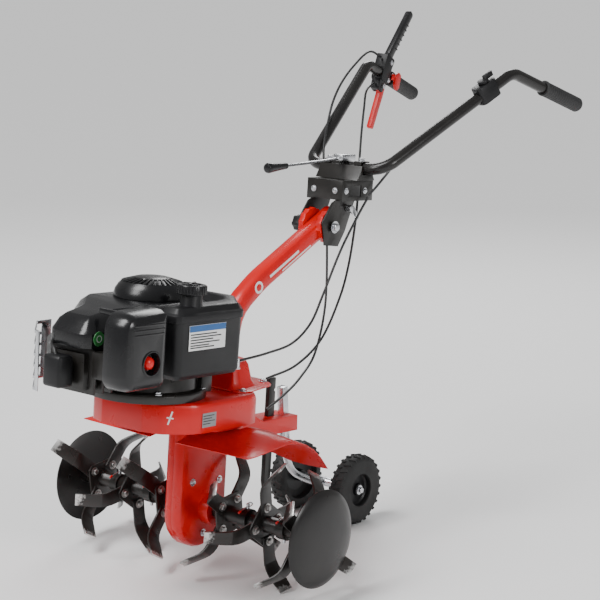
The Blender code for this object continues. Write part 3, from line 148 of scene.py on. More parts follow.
# wear that grows with distance from the rotor axle
wear, wearIn, wearOut = newGroup("tipWear", [("Start", "NodeSocketFloat", 0.11), ("End", "NodeSocketFloat", 0.125)],
                                 [("Mask", "NodeSocketFloat")])
place = wear.nodes.new("ShaderNodeTexCoord")
offset = addNode(wear, "ShaderNodeVectorMath")
offset.operation = "SUBTRACT"
offset.inputs[1].default_value = axleCentre
flat = wear.nodes.new("ShaderNodeVectorMath")
flat.operation = "MULTIPLY"
flat.inputs[1].default_value = (0, 1, 1)
reach = wear.nodes.new("ShaderNodeVectorMath")
reach.operation = "LENGTH"
ragged = addNode(wear, "ShaderNodeTexNoise", Scale=160, Detail=5)
lift = wear.nodes.new("ShaderNodeMath")
lift.operation = "MULTIPLY_ADD"
lift.inputs[1].default_value = 0.022
wear.links.new(place.outputs["Object"], offset.inputs[0])
wear.links.new(offset.outputs[0], flat.inputs[0])
wear.links.new(flat.outputs[0], reach.inputs[0])
wear.links.new(place.outputs["Object"], ragged.inputs["Vector"])
wear.links.new(ragged.outputs["Fac"], lift.inputs[0])
wear.links.new(reach.outputs["Value"], lift.inputs[2])
wearMask = remap(wear, lift.outputs[0], wearIn.outputs["Start"], wearIn.outputs["End"], 0, 1)
wear.links.new(wearMask, wearOut.inputs["Mask"])


def makeMaterial(name, look):
    made = bpy.data.materials.new(name)
    made.use_nodes = True
    tree = made.node_tree
    shader = tree.nodes["Principled BSDF"]
    cover = tree.nodes.new("ShaderNodeGroup")
    cover.node_tree = skin
    cover.inputs["Main Colour"].default_value = (*look["colour"], 1)
    cover.inputs["Second Colour"].default_value = (*look["second"], 1)
    cover.inputs["Cloud Scale"].default_value = look.get("cloud", 9)
    cover.inputs["Grain Scale"].default_value = look.get("grain", 900)
    cover.inputs["Rough Low"].default_value = look["rough"][0]
    cover.inputs["Rough High"].default_value = look["rough"][1]
    bump = addNode(tree, "ShaderNodeBump", Strength=look.get("bump", 0.1), Distance=look.get("depth", 0.0004))
    tree.links.new(cover.outputs["Height"], bump.inputs["Height"])
    tree.links.new(bump.outputs["Normal"], shader.inputs["Normal"])
    shader.inputs["Metallic"].default_value = look.get("metal", 0)
    shader.inputs["Coat Weight"].default_value = look.get("coat", 0)
    shader.inputs["Coat Roughness"].default_value = 0.12
    shader.inputs["Specular IOR Level"].default_value = look.get("shine", 0.5)
    colour, rough = cover.outputs["Colour"], cover.outputs["Roughness"]
    if "tips" in look:
        tips = tree.nodes.new("ShaderNodeGroup")
        tips.node_tree = wear
        tips.inputs["Start"].default_value, tips.inputs["End"].default_value = look["tips"]
        colour = blendColour(tree, tips.outputs["Mask"], colour, (0.62, 0.61, 0.6))
        rough = remap(tree, tips.outputs["Mask"], 0, 1, rough, 0.34)
        tree.links.new(tips.outputs["Mask"], shader.inputs["Metallic"])
    tree.links.new(colour, shader.inputs["Base Color"])
    tree.links.new(rough, shader.inputs["Roughness"])
    return made


looks = {
    "redPaint": {"colour": (0.72, 0.003, 0.003), "second": (0.62, 0.002, 0.002), "rough": (0.26, 0.36), "coat": 0.1,
                 "bump": 0.025, "grain": 700, "shine": 0.4},
    "redPlastic": {"colour": (0.70, 0.003, 0.004), "second": (0.60, 0.002, 0.003), "rough": (0.30, 0.42), "bump": 0.10},
    "blackPaint": {"colour": (0.011, 0.010, 0.009), "second": (0.018, 0.016, 0.014), "rough": (0.26, 0.38), "bump": 0.08,
                   "grain": 500},
    "tineSteel": {"colour": (0.012, 0.010, 0.009), "second": (0.022, 0.017, 0.015), "rough": (0.26, 0.40), "bump": 0.15,
                  "grain": 500, "tips": (0.1270, 0.1350)},
    "discPaint": {"colour": (0.010, 0.009, 0.009), "second": (0.016, 0.014, 0.013), "rough": (0.26, 0.38), "bump": 0.04,
                  "grain": 380, "shine": 0.4},
    "blackPlastic": {"colour": (0.008, 0.008, 0.009), "second": (0.012, 0.012, 0.013), "rough": (0.34, 0.46),
                     "grain": 1400, "bump": 0.2, "shine": 0.32},
    "satinPlastic": {"colour": (0.007, 0.007, 0.008), "second": (0.010, 0.010, 0.011), "rough": (0.20, 0.30),
                     "grain": 1200, "bump": 0.08, "shine": 0.45},
    "rubber": {"colour": (0.011, 0.011, 0.011), "second": (0.018, 0.017, 0.017), "rough": (0.60, 0.78), "grain": 700,
               "bump": 0.35},
    "gripFoam": {"colour": (0.022, 0.022, 0.023), "second": (0.030, 0.030, 0.031), "rough": (0.62, 0.76), "grain": 800,
                 "bump": 0.4},
    "zinc": {"colour": (0.74, 0.75, 0.77), "second": (0.62, 0.63, 0.66), "rough": (0.20, 0.34), "metal": 1, "cloud": 60,
             "grain": 600, "bump": 0.12},
    "steel": {"colour": (0.48, 0.47, 0.46), "second": (0.36, 0.35, 0.34), "rough": (0.30, 0.45), "metal": 1, "cloud": 40,
              "bump": 0.12},
    "badgeWhite": {"colour": (0.80, 0.82, 0.80), "second": (0.74, 0.76, 0.74), "rough": (0.3, 0.4), "bump": 0.02},
    "castMetal": {"colour": (0.30, 0.30, 0.30), "second": (0.20, 0.20, 0.20), "rough": (0.45, 0.62), "metal": 1,
                  "cloud": 40, "grain": 500, "bump": 0.6},
    "tubePaint": {"colour": (0.012, 0.011, 0.011), "second": (0.017, 0.016, 0.015), "rough": (0.20, 0.30), "shine": 0.4,
                  "bump": 0.05, "grain": 400},
    "cableSheath": {"colour": (0.016, 0.016, 0.017), "second": (0.022, 0.022, 0.022), "rough": (0.40, 0.52),
                    "bump": 0.15},
    "whiteDecal": {"colour": (0.86, 0.86, 0.85), "second": (0.80, 0.80, 0.79), "rough": (0.28, 0.38), "bump": 0.02},
    "blueDecal": {"colour": (0.02, 0.12, 0.36), "second": (0.02, 0.10, 0.30), "rough": (0.28, 0.38), "bump": 0.02},
    "greenDecal": {"colour": (0.05, 0.30, 0.08), "second": (0.04, 0.26, 0.06), "rough": (0.28, 0.38), "bump": 0.02},
    "greyDecal": {"colour": (0.30, 0.31, 0.32), "second": (0.25, 0.26, 0.27), "rough": (0.28, 0.38), "bump": 0.02},
}
mats = {name: makeMaterial(name, look) for name, look in looks.items()}
print("materials made:", len(mats))


# modelling helpers
def onlySelect(obj):
    bpy.ops.object.select_all(action="DESELECT")
    obj.select_set(True)
    bpy.context.view_layer.objects.active = obj


def applyModifiers(obj):
    onlySelect(obj)
    for modifier in list(obj.modifiers):
        bpy.ops.object.modifier_apply(modifier=modifier.name)


def roundEdges(obj, width, segments=2, angle=32):
    bevel = obj.modifiers.new("rounded", "BEVEL")
    bevel.width = width
    bevel.segments = segments
    bevel.limit_method = "ANGLE"
    bevel.angle_limit = math.radians(angle)
    applyModifiers(obj)


def settle(obj, name, material, body, level=True, smooth=34):
    onlySelect(obj)
    if level:
        obj.matrix_world = levelFrame @ obj.matrix_world
    bpy.ops.object.transform_apply(location=True, rotation=True, scale=True)
    bpy.ops.object.shade_smooth_by_angle(angle=math.radians(smooth))
    obj.name = name
    obj.data.name = name
    obj.data.materials.clear()
    obj.data.materials.append(mats[material])
    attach(obj, body)
    return obj


def refine(name, material, width=0.0008, smooth=34, segments=2):
    piece = nodes[name].copy()
    piece.data = nodes[name].data.copy()
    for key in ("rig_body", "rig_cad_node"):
        if key in piece:
            del piece[key]
    bpy.context.scene.collection.objects.link(piece)
    piece.parent = None
    piece.matrix_world = Matrix.Identity(4)
    piece.hide_render = False
    onlySelect(piece)
    bpy.ops.object.mode_set(mode="EDIT")
    bpy.ops.mesh.select_all(action="SELECT")
    bpy.ops.mesh.remove_doubles(threshold=0.00002)
    bpy.ops.mesh.dissolve_limited(angle_limit=math.radians(0.6))
    bpy.ops.object.mode_set(mode="OBJECT")
    if width:
        roundEdges(piece, width, segments, 30)
    settle(piece, name + "_finished", material, bodyOf[name], level=False, smooth=smooth)
    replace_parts(piece, name)
    return piece


def joinAll(parts):
    bpy.ops.object.select_all(action="DESELECT")
    for part in parts:
        part.select_set(True)
    bpy.context.view_layer.objects.active = parts[0]
    if len(parts) > 1:
        bpy.ops.object.join()
    return parts[0]


def turnTo(obj, at, axis):
    obj.matrix_world = Matrix.Translation(at) @ Vector(axis).to_track_quat("Z", "Y").to_matrix().to_4x4()
    onlySelect(obj)
    bpy.ops.object.transform_apply(location=True, rotation=True, scale=True)
    return obj


def lathe(profile, steps=48):
    bpy.ops.object.select_all(action="DESELECT")
    bpy.ops.mesh.primitive_plane_add(size=0.001)
    obj = bpy.context.object
    bpy.ops.object.mode_set(mode="EDIT")
    bpy.ops.mesh.select_all(action="SELECT")
    bpy.ops.mesh.merge(type="CENTER")
    bpy.ops.transform.translate(value=(profile[0][0], 0, profile[0][1]))
    for before, after in zip(profile, profile[1:]):
        step = (after[0] - before[0], 0, after[1] - before[1])
        bpy.ops.mesh.extrude_region_move(TRANSFORM_OT_translate={"value": step})
    bpy.ops.mesh.select_all(action="SELECT")
    bpy.ops.mesh.spin(steps=steps, angle=2 * math.pi, center=(0, 0, 0), axis=(0, 0, 1))
    bpy.ops.mesh.select_all(action="SELECT")
    bpy.ops.mesh.remove_doubles(threshold=0.00001)
    bpy.ops.mesh.normals_make_consistent(inside=False)
    bpy.ops.object.mode_set(mode="OBJECT")
    return obj


def addBlock(low, high, width=0.0008, segments=2):
    size = [h - l for l, h in zip(low, high)]
    bpy.ops.object.select_all(action="DESELECT")
    bpy.ops.mesh.primitive_cube_add(size=1, location=[(l + h) / 2 for l, h in zip(low, high)])
    block = bpy.context.object
    block.scale = size
    bpy.ops.object.transform_apply(location=True, rotation=True, scale=True)
    if width:
        roundEdges(block, width, segments)
    return block


def shiftVerts(obj, wanted, step):
    bpy.ops.object.mode_set(mode="EDIT")
    bpy.ops.mesh.select_all(action="DESELECT")
    bpy.ops.object.mode_set(mode="OBJECT")
    for vert in obj.data.vertices:
        vert.select = wanted(vert.co)
    bpy.ops.object.mode_set(mode="EDIT")
    bpy.ops.transform.translate(value=step)
    bpy.ops.object.mode_set(mode="OBJECT")


def addBolt(at, axis, size=0.006, height=0.004):
    bpy.ops.object.select_all(action="DESELECT")
    bpy.ops.mesh.primitive_cylinder_add(vertices=6, radius=size, depth=height, location=(0, 0, height * 0.5 + 0.0009))
    head = bpy.context.object
    bpy.ops.object.mode_set(mode="EDIT")
    bpy.ops.mesh.select_all(action="DESELECT")
    bpy.ops.object.mode_set(mode="OBJECT")
    for face in head.data.polygons:
        face.select = face.normal.z > 0.9
    bpy.ops.object.mode_set(mode="EDIT")
    bpy.ops.mesh.inset(thickness=size * 0.18)
    bpy.ops.transform.translate(value=(0, 0, height * 0.12))
    bpy.ops.object.mode_set(mode="OBJECT")
    bpy.ops.object.transform_apply(location=True, rotation=True, scale=True)
    roundEdges(head, size * 0.05, 1)
    washer = lathe([(0, 0), (size * 1.5, 0), (size * 1.5, 0.0009), (0, 0.0009)], 24)
    return turnTo(joinAll([head, washer]), at, axis)


def addTube(points, radius, sides=6):
    curve = bpy.data.curves.new("run", "CURVE")
    curve.dimensions = "3D"
    curve.bevel_depth = radius
    curve.bevel_resolution = sides
    curve.use_fill_caps = True
    spline = curve.splines.new("POLY")
    spline.points.add(len(points) - 1)
    for spot, point in zip(spline.points, points):
        spot.co = (*point, 1)
    obj = bpy.data.objects.new("run", curve)
    bpy.context.scene.collection.objects.link(obj)
    onlySelect(obj)
    bpy.ops.object.convert(target="MESH")
    return bpy.context.object


def smoothRun(knots, spacing):
    knots = [Vector(k) for k in knots]
    knots = [knots[0] * 2 - knots[1]] + knots + [knots[-1] * 2 - knots[-2]]
    run = []
    for a, b, c, d in zip(knots, knots[1:], knots[2:], knots[3:]):
        pieces = max(2, round((c - b).length / spacing))
        for i in range(pieces):
            t = i / pieces
            run.append(0.5 * (2 * b + (c - a) * t + (2 * a - 5 * b + 4 * c - d) * t * t
                              + (3 * b - a - 3 * c + d) * t * t * t))
    return run + [knots[-2]]


def bentRun(corners, radii, steps=12):
    corners = [Vector(c) for c in corners]
    points = [corners[0]]
    for before, corner, after, radius in zip(corners, corners[1:], corners[2:], radii):
        into, out = (corner - before).normalized(), (after - corner).normalized()
        half = into.angle(out) / 2
        start = corner - into * radius * math.tan(half)
        centre = corner + (out - into).normalized() * radius / math.cos(half)
        axis = into.cross(out).normalized()
        points += [centre + Matrix.Rotation(2 * half * k / steps, 3, axis) @ (start - centre)
                   for k in range(steps + 1)]
    return points + [corners[-1]]


# each frame solid in this table gets a finished skin, with rounded edges where its width is not zero
finishes = {
    "redPaint": {"engine_pan": 0.003, "rear_frame": 0.0006, "belt_cover": 0.0012, "fender_left": 0.0006,
                 "fender_right": 0.0006, "chain_case_left": 0.0022, "chain_case_right": 0.0022, "handle_column": 0.0008},
    "blackPaint": {"crankcase": 0.0012, "swivel_clamp": 0.0010, "head_bracket": 0.0007, "depth_spur": 0.0008},
    "tineSteel": {"tine_set_%s_%d" % (side, i): 0.0006 for side in ("left", "right") for i in (1, 2, 3)},
    "blackPlastic": {"plug_cover": 0, "throttle_housing": 0.0012, "control_housing": 0.0012, "oil_cap": 0.0004,
                     "starter_handle": 0.001, "height_knob": 0.001, "throttle_lever": 0.0008, "fuel_tank": 0.0014},
    "satinPlastic": {"blower_housing": 0.0022, "air_filter_cover": 0.0026,
                     "forward_lever": 0.001},
    "redPlastic": {"reverse_lever": 0.001, "safety_latch": 0.0012, "primer_bulb": 0},
    "rubber": {"drive_belt": 0},
    "zinc": {"wheel_bar": 0.0008, "wing_lever": 0.0006, "release_lever": 0.0004, "muffler_guard": 0.0004,
             "throttle_arm": 0.0003, "idler_arm": 0.0003},
    "steel": {"rotor_axle": 0.0003, "drive_chain": 0, "bevel_sprocket": 0, "crankshaft": 0},
    "castMetal": {"driven_pulley": 0, "muffler": 0.001},
}
for material, members in finishes.items():
    for name, width in members.items():
        refine(name, material, width)
print("frame solids finished")

# handlebar, grips and lever knob
barLook = {"bendTop": (0.196, 0.728, 0.886), "gripEnd": (0.228, 0.958, 0.824), "low": (0.098, 0.410, 0.668),
           "radius": 0.0125, "gripRibs": 15}
bendTop, gripEnd, low = (Vector(barLook[key]) for key in ("bendTop", "gripEnd", "low"))


def onSide(point, hand):
    return Vector((point.x * hand, point.y, point.z))


corners = [onSide(gripEnd, -1), onSide(bendTop, -1), onSide(low, -1), low, bendTop, gripEnd]
bar = addTube(bentRun(corners, [0.045] * 4), barLook["radius"], 8)
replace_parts(settle(bar, "handlebar_tube", "tubePaint", "handlebars", smooth=50), "handlebar")
gripWay = (gripEnd - bendTop).normalized()
for hand, word in ((1, "left"), (-1, "right")):
    profile = [(0, 0.1283), (0.0129, 0.1283), (0.0129, 0), (0.0160, 0), (0.0176, 0.0015), (0.0176, 0.0055),
               (0.0164, 0.0070)]
    for i in range(barLook["gripRibs"]):
        z = 0.0100 + i * 0.0075
        profile += [(0.0162, z), (0.0168, z + 0.0012), (0.0168, z + 0.0048), (0.0162, z + 0.0060)]
    profile += [(0.0166, 0.1240), (0.0168, 0.1290), (0.0150, 0.1325), (0.0060, 0.1330), (0, 0.1330)]
    grip = lathe(profile, 40)
    turnTo(grip, onSide(gripEnd - gripWay * 0.128, hand), onSide(gripWay, hand))
    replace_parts(settle(grip, "grip_ribbed_" + word, "gripFoam", "handlebars"), "grip_" + word)
knob = lathe([(0, -0.001), (0.0062, -0.001), (0.0070, 0.002), (0.0078, 0.020), (0.0102, 0.050), (0.0106, 0.056),
              (0.0090, 0.0595), (0.0050, 0.061), (0, 0.061)], 32)
turnTo(knob, (0, 0.210, 0.6711), (0, -0.056, -0.0043))
settle(knob, "release_knob_black", "satinPlastic", "release")

# control lever details
leverLook = {"ribs": 6, "ribStart": 0.070, "ribStep": 0.0135}
along = Vector((-gripWay.x, gripWay.y, gripWay.z))
across = (Vector((1, 0, 0)) - along * along.x).normalized()
upward = across.cross(along).normalized()
controlTurn = Matrix((across, along, upward)).transposed().to_4x4()
control = Matrix.Translation(onSide(bendTop + gripWay * 0.072, -1)) @ controlTurn
ribs = []
for i in range(leverLook["ribs"]):
    s = leverLook["ribStart"] + i * leverLook["ribStep"]
    share = (s - 0.046) / 0.122
    y, z = 0.0225 + 0.053 * share, s
    rib = addBlock((-0.0066, y - 0.0070, z - 0.0018), (0.0066, y + 0.0075, z + 0.0018), 0.001, 2)
    ribs.append(rib)
group = joinAll(ribs)
group.matrix_world = control
settle(group, "forward_lever_ribs", "blackPlastic", "forward_trigger")
pins = [turnTo(addBolt((0, 0, 0), (0, 0, 1), 0.0038, 0.0022), (side * 0.0141, y, z), (side, 0, 0))
        for side in (-1, 1) for y, z in ((0.012, 0.030), (0.001, -0.030), (0.016, -0.012))]
group = joinAll(pins)
group.matrix_world = control
settle(group, "control_screws", "zinc", "handlebars")
print("handlebar and controls made")

# discs at the rotor ends
for hand, word in ((1, "left"), (-1, "right")):
    disc = lathe([(0, 0.0217), (0.012, 0.0216), (0.028, 0.0210), (0.048, 0.0192), (0.066, 0.0166), (0.082, 0.0128),
                  (0.0936, 0.0084), (0.0944, 0.0074), (0.0940, 0.0060), (0.082, 0.0104), (0.066, 0.0143),
                  (0.048, 0.0168), (0.028, 0.0187), (0.0165, 0.0191), (0.0165, 0.0003), (0, 0.0003)], 96)
    turnTo(disc, (hand * 0.3002, 0, 0), (hand, 0, 0))
    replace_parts(settle(disc, "guard_disc_pressed_" + word, "discPaint", "rotor"), "guard_disc_" + word)

# bolts and clip pins on the tine hubs
hubLook = {"boltCircle": 0.034, "setX": (0.080, 0.174, 0.268), "pinX": (0.1272, 0.2213)}
for hand, word in ((1, "left"), (-1, "right")):
    for number, x in enumerate(hubLook["setX"]):
        phase = math.radians(10 if number == 1 else 55)
        bolts = []
        for k in range(4):
            turn = phase + k * math.pi / 2
            side = (-1 if k % 2 == 0 else 1) if number == 1 else (-hand if k % 2 == 0 else hand)
            y, z = hubLook["boltCircle"] * math.cos(turn), hubLook["boltCircle"] * math.sin(turn)
            bolts.append(addBolt((hand * x + side * 0.0057, y, z), (side, 0, 0), 0.0062, 0.0045))
            bolts.append(addBolt((hand * x - side * 0.0021, y, z), (-side, 0, 0), 0.0062, 0.0050))
        settle(joinAll(bolts), "hub_bolts_%s_%d" % (word, number + 1), "steel", "rotor")
    pins, collars, tips = [], [], []
    for x in hubLook["pinX"]:
        collar = lathe([(0.0166, -0.010), (0.0205, -0.0095), (0.0205, 0.0095), (0.0166, 0.010), (0.0166, -0.010)], 32)
        turnTo(collar, (hand * x, 0, 0), (1, 0, 0))
        collars.append(collar)
        pins.append(addTube([(hand * x, 0, -0.027), (hand * x, 0, 0.030)], 0.0032, 4))
        loop = [Vector((hand * x, 0.0035 + 0.009 * math.sin(t), 0.0275 + 0.004 * math.cos(t))) for t in
                [i * math.pi / 8 for i in range(-3, 11)]]
        pins.append(addTube(loop + [Vector((hand * x, -0.012, 0.022)), Vector((hand * x, -0.0225, 0.018))], 0.0012, 3))
        tips.append(addTube([(hand * x, -0.0220, 0.0182), (hand * x, -0.0245, 0.0172), (hand * x, -0.0275, 0.0160)],
                            0.0022, 3))
    settle(joinAll(pins), "hub_pins_" + word, "zinc", "rotor")
    settle(joinAll(collars), "hub_collars_" + word, "blackPaint", "rotor")
    settle(joinAll(tips), "hub_clip_tips_" + word, "redPlastic", "rotor")
print("rotor details made")

# transport wheels
wheelLook = {"centre": (0.081, 0.408, -0.0145), "blocks": 26, "skew": 24, "blockSize": (0.0066, 0.0105, 0.0160)}
for hand, word in ((1, "left"), (-1, "right")):
    spot = onSide(Vector(wheelLook["centre"]), hand)
    tyre = lathe([(0.0345, 0.0160), (0.0358, 0.0176), (0.0440, 0.0172), (0.0520, 0.0166), (0.0600, 0.0172),
                  (0.0668, 0.0160), (0.0712, 0.0128), (0.0728, 0.0080), (0.0733, 0), (0.0728, -0.0080),
                  (0.0712, -0.0128), (0.0668, -0.0160), (0.0600, -0.0172), (0.0520, -0.0168), (0.0500, -0.004),
                  (0.0345, -0.002), (0.0345, 0.0160)], 72)
    blocks = [tyre]
    size = wheelLook["blockSize"]
    for row in (-1, 1):
        for i in range(wheelLook["blocks"]):
            turn = 2 * math.pi * (i + 0.25 * row) / wheelLook["blocks"]
            if i == 0:
                block = addBlock((0.0658, -size[0] / 2, 0.0012), (0.0761, size[0] / 2, 0.0012 + size[2]), 0.0009, 1)
                shiftVerts(block, lambda co: co.x > 0.0745 and co.z > 0.012, (-0.0032, 0, 0))
                if row < 0:
                    block.matrix_world = Matrix.Rotation(math.pi, 4, "X")
                    bpy.ops.object.transform_apply(location=True, rotation=True, scale=True)
                block.matrix_world = Matrix.Rotation(math.radians(wheelLook["skew"]) * row, 4, "X")
                bpy.ops.object.transform_apply(location=True, rotation=True, scale=True)
                master = block
            copied = master.copy()
            copied.data = master.data.copy()
            bpy.context.scene.collection.objects.link(copied)
            copied.matrix_world = Matrix.Rotation(turn, 4, "Z")
            blocks.append(copied)
        bpy.data.objects.remove(master)
    bpy.context.view_layer.update()
    wheel = turnTo(joinAll(blocks), spot, (hand, 0, 0))
    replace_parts(settle(wheel, "tyre_" + word, "rubber", word + "_wheel"), "wheel_" + word)
    disc = lathe([(0.0063, 0.0120), (0.0125, 0.0120), (0.0135, 0.0055), (0.0180, 0.0034), (0.0300, 0.0030),
                  (0.0334, 0.0060), (0.0350, 0.0130), (0.0350, -0.0020), (0.0140, -0.0025), (0.0130, -0.0180),
                  (0.0063, -0.0180), (0.0063, 0.0120)], 48)
    turnTo(disc, spot, (hand, 0, 0))
    settle(disc, "wheel_hub_" + word, "blackPlastic", word + "_wheel")
    nut = addBolt(spot + Vector((hand * 0.0122, 0, 0)), (hand, 0, 0), 0.0066, 0.0052)
    settle(nut, "wheel_nut_" + word, "zinc", word + "_wheel")
print("wheels made")

# engine top
engineLook = {"centre": (0, -0.165), "louvres": 30, "capRibs": 28, "cap": (0.1375, -0.206)}
cx, cy = engineLook["centre"]
dome = lathe([(0, 0.4690), (0.012, 0.4688), (0.028, 0.4676), (0.034, 0.4662), (0.035, 0.4640), (0.050, 0.4585),
              (0.056, 0.4560), (0.058, 0.4580), (0.063, 0.4528), (0.069, 0.4440), (0.0720, 0.4330), (0.0720, 0.4293),
              (0.0685, 0.4293), (0.0640, 0.4400), (0.030, 0.4600), (0, 0.4620)], 72)
dome.matrix_world = Matrix.Translation((cx, cy, 0))
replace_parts(settle(dome, "starter_dome", "satinPlastic", "chassis"), "starter_cover")
blades = []
for i in range(engineLook["louvres"]):
    blade = addBlock((-0.0016, 0.034, 0.4595), (0.0016, 0.0575, 0.4660), 0.0005, 1)
    shiftVerts(blade, lambda co: co.y > 0.05, (0.006, 0, -0.0065))
    turn = Matrix.Rotation(2 * math.pi * i / engineLook["louvres"], 4, "Z")
    blade.matrix_world = Matrix.Translation((cx, cy, 0)) @ turn
    blades.append(blade)
settle(joinAll(blades), "starter_louvres", "blackPlastic", "chassis")

cap = lathe([(0, 0.4740), (0.0180, 0.4738), (0.0200, 0.4722), (0.0262, 0.4718), (0.0272, 0.4700), (0.0272, 0.4560),
             (0.0262, 0.4546), (0, 0.4546)], 48)
ribs = [cap]
for i in range(engineLook["capRibs"]):
    rib = addBlock((0.0262, -0.0012, 0.4556), (0.0281, 0.0012, 0.4704), 0.0006, 1)
    rib.matrix_world = Matrix.Rotation(2 * math.pi * i / engineLook["capRibs"], 4, "Z")
    ribs.append(rib)
for turn in (0, math.pi / 2):
    bar = addBlock((-0.0165, -0.0022, 0.4735), (0.0165, 0.0022, 0.4756), 0.0008, 2)
    bar.matrix_world = Matrix.Rotation(turn + 0.4, 4, "Z")
    ribs.append(bar)
group = joinAll(ribs)
onlySelect(group)
bpy.ops.object.transform_apply(location=True, rotation=True, scale=True)
group.matrix_world = Matrix.Translation((*engineLook["cap"], 0))
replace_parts(settle(group, "filler_cap_ribbed", "satinPlastic", "filler_cap"), "fuel_cap")

# raised bands and ring on the filter cover
bands = [addBlock((0.150, -0.3780, z), (0.1668, -0.3020, z + 0.0042), 0.0012, 2) for z in (0.3930, 0.4015, 0.4100)]
ring = turnTo(lathe([(0.0196, -0.003), (0.0235, -0.003), (0.0235, 0.0006), (0.0222, 0.0020), (0.0206, 0.0020),
                     (0.0196, 0.0004), (0.0196, -0.003)], 40), (0.1655, -0.331, 0.343), (1, 0, 0))
settle(joinAll(bands + [ring]), "filter_bands", "satinPlastic", "chassis")
ledges = [addBlock((0.045, -0.3460, 0.4170), (0.098, -0.3380, 0.4270), 0.002),
          addBlock((-0.070, -0.060, 0.392), (0.0, -0.0575, 0.398), 0.001)]
settle(joinAll(ledges), "shroud_ledges", "satinPlastic", "chassis")
lead = addTube(smoothRun([(0.0, -0.400, 0.335), (-0.012, -0.396, 0.350), (-0.030, -0.385, 0.356), (-0.045, -0.360, 0.366)],
                         0.004), 0.0034, 4)
settle(lead, "plug_lead", "cableSheath", "chassis")

# rope between the shroud and the pull handle, a fixed straight tube
ropeLook = {"inner": -0.1020, "outer": -0.1190, "radius": 0.0019, "steps": 24}
ropeSpan = ropeLook["outer"] - ropeLook["inner"]
ropeLine = [levelFrame @ Vector((ropeLook["inner"] + ropeSpan * i / ropeLook["steps"], -0.216, 0.394))
            for i in range(ropeLook["steps"] + 1)]
rope = addTube(ropeLine, ropeLook["radius"], 4)
bpy.ops.object.shade_smooth_by_angle(angle=math.radians(50))
rope.name = "starter_rope"
rope.data.materials.append(mats["gripFoam"])
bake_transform(rope)

# plain labels, without words
labels = [
    ("tank_label", "whiteDecal", (0.1640, -0.2360, 0.3560), (0.1647, -0.1380, 0.4020)),
    ("tank_label_head", "blueDecal", (0.1641, -0.2355, 0.3900), (0.1650, -0.1385, 0.4015)),
    ("rating_plate", "greyDecal", (0.1300, -0.1500, 0.1990), (0.1306, -0.1120, 0.2260)),
]
for name, material, lowCorner, highCorner in labels:
    settle(addBlock(lowCorner, highCorner, 0.0001, 1), name, material, "chassis")
lines = [addBlock((0.1645, -0.2320, z), (0.1649, -0.2320 + length, z + 0.0022), 0) for z, length in
         ((0.3840, 0.070), (0.3790, 0.082), (0.3740, 0.060), (0.3690, 0.078), (0.3640, 0.050), (0.3600, 0.064))]
lines += [addBlock((0.1304, -0.1480, z), (0.1309, -0.1480 + length, z + 0.0016), 0) for z, length in
          ((0.2200, 0.030), (0.2150, 0.024), (0.2100, 0.032), (0.2050, 0.020))]
settle(joinAll(lines), "label_lines", "blackPaint", "chassis")
badge = turnTo(lathe([(0, 0.0008), (0.0128, 0.0008), (0.0131, 0), (0, 0)], 40), (0.0580, -0.3555, 0.3735), (1, 0, 0))
settle(badge, "shroud_badge", "greenDecal", "chassis")
ring = turnTo(lathe([(0.0050, 0.0007), (0.0050, 0.0011), (0.0066, 0.0011), (0.0066, 0.0007), (0.0050, 0.0007)], 32),
              (0.0580, -0.3555, 0.3735), (1, 0, 0))
settle(ring, "shroud_badge_ring", "badgeWhite", "chassis")
slope = Matrix.Rotation(math.atan2(0.056, 0.040), 4, "Z")
marks = []
for width, tall, lean in ((0.0030, 0.0260, 0.30), (0.0130, 0.0026, 0.16)):
    mark = addBlock((-width / 2, -0.0003, -tall / 2), (width / 2, 0.0003, tall / 2), 0.0001, 1)
    mark.matrix_world = Matrix.Translation((0.0990, -0.2042, 0.2190)) @ slope @ Matrix.Rotation(lean, 4, "Y")
    marks.append(mark)
settle(joinAll(marks), "pan_mark", "whiteDecal", "chassis")
print("engine details made")

# marks on the column: a plain ring and two stripes
markLook = {"ringAt": (0.1250, 0.4300), "stripes": ((0.020, 0.100, 0.0055, -0.0030), (0.058, 0.100, 0.0030, -0.0110))}
parts = []
for hand in (-1, 1):
    ring = lathe([(0.0075, 0), (0.0125, 0), (0.0125, 0.0004), (0.0075, 0.0004), (0.0075, 0)], 40)
    parts.append(turnTo(ring, (hand * 0.0185, *markLook["ringAt"]), (hand, 0, 0)))
    slope = Matrix.Rotation(math.atan2(0.4797, 0.8773), 4, "X")
    for start, length, tall, drop in markLook["stripes"]:
        stripe = addBlock((-0.0002, start, drop), (0.0002, start + length, drop + tall), 0)
        stripe.matrix_world = Matrix.Translation((hand * 0.0187, 0.1400, 0.4405)) @ slope
        onlySelect(stripe)
        bpy.ops.object.transform_apply(location=True, rotation=True, scale=True)
        parts.append(stripe)
settle(joinAll(parts), "column_marks", "whiteDecal", "chassis")

# screws on the pan, cases and head
screws = [addBolt((x, y, 0.2474), (0, 0, 1), 0.0058, 0.0042)
          for x, y in ((0.1, -0.004), (-0.1, -0.004), (0.058, 0.106), (-0.058, 0.106))]
screws += [addBolt((hand * 0.0250, y, z), (hand, 0, 0), 0.0050, 0.0032) for hand in (-1, 1) for y, z in
           ((-0.050, 0.059), (0.028, 0.054), (-0.050, 0.150), (0.028, 0.150), (-0.0120, -0.0480))]
settle(joinAll(screws), "frame_screws", "zinc", "chassis")
settle(addBolt((0.0402, 0.333, 0.546), (1, 0, 0), 0.0085, 0.0060), "head_pivot_nut", "zinc", "head")
screws = [addBolt((x, 0.410, 0.6826), (0, 0, 1), 0.0062, 0.0052) for x in (-0.042, 0.042)]
settle(joinAll(screws), "clamp_nuts", "zinc", "handlebars")
straps = []
for x in (-0.042, 0.042):
    straps.append(addBlock((x - 0.009, 0.3945, 0.6799), (x + 0.009, 0.4255, 0.6826), 0.0010, 2))
    for y in (0.3945, 0.4228):
        straps.append(addBlock((x - 0.009, y, 0.6738), (x + 0.009, y + 0.0027, 0.6820), 0.0008, 1))
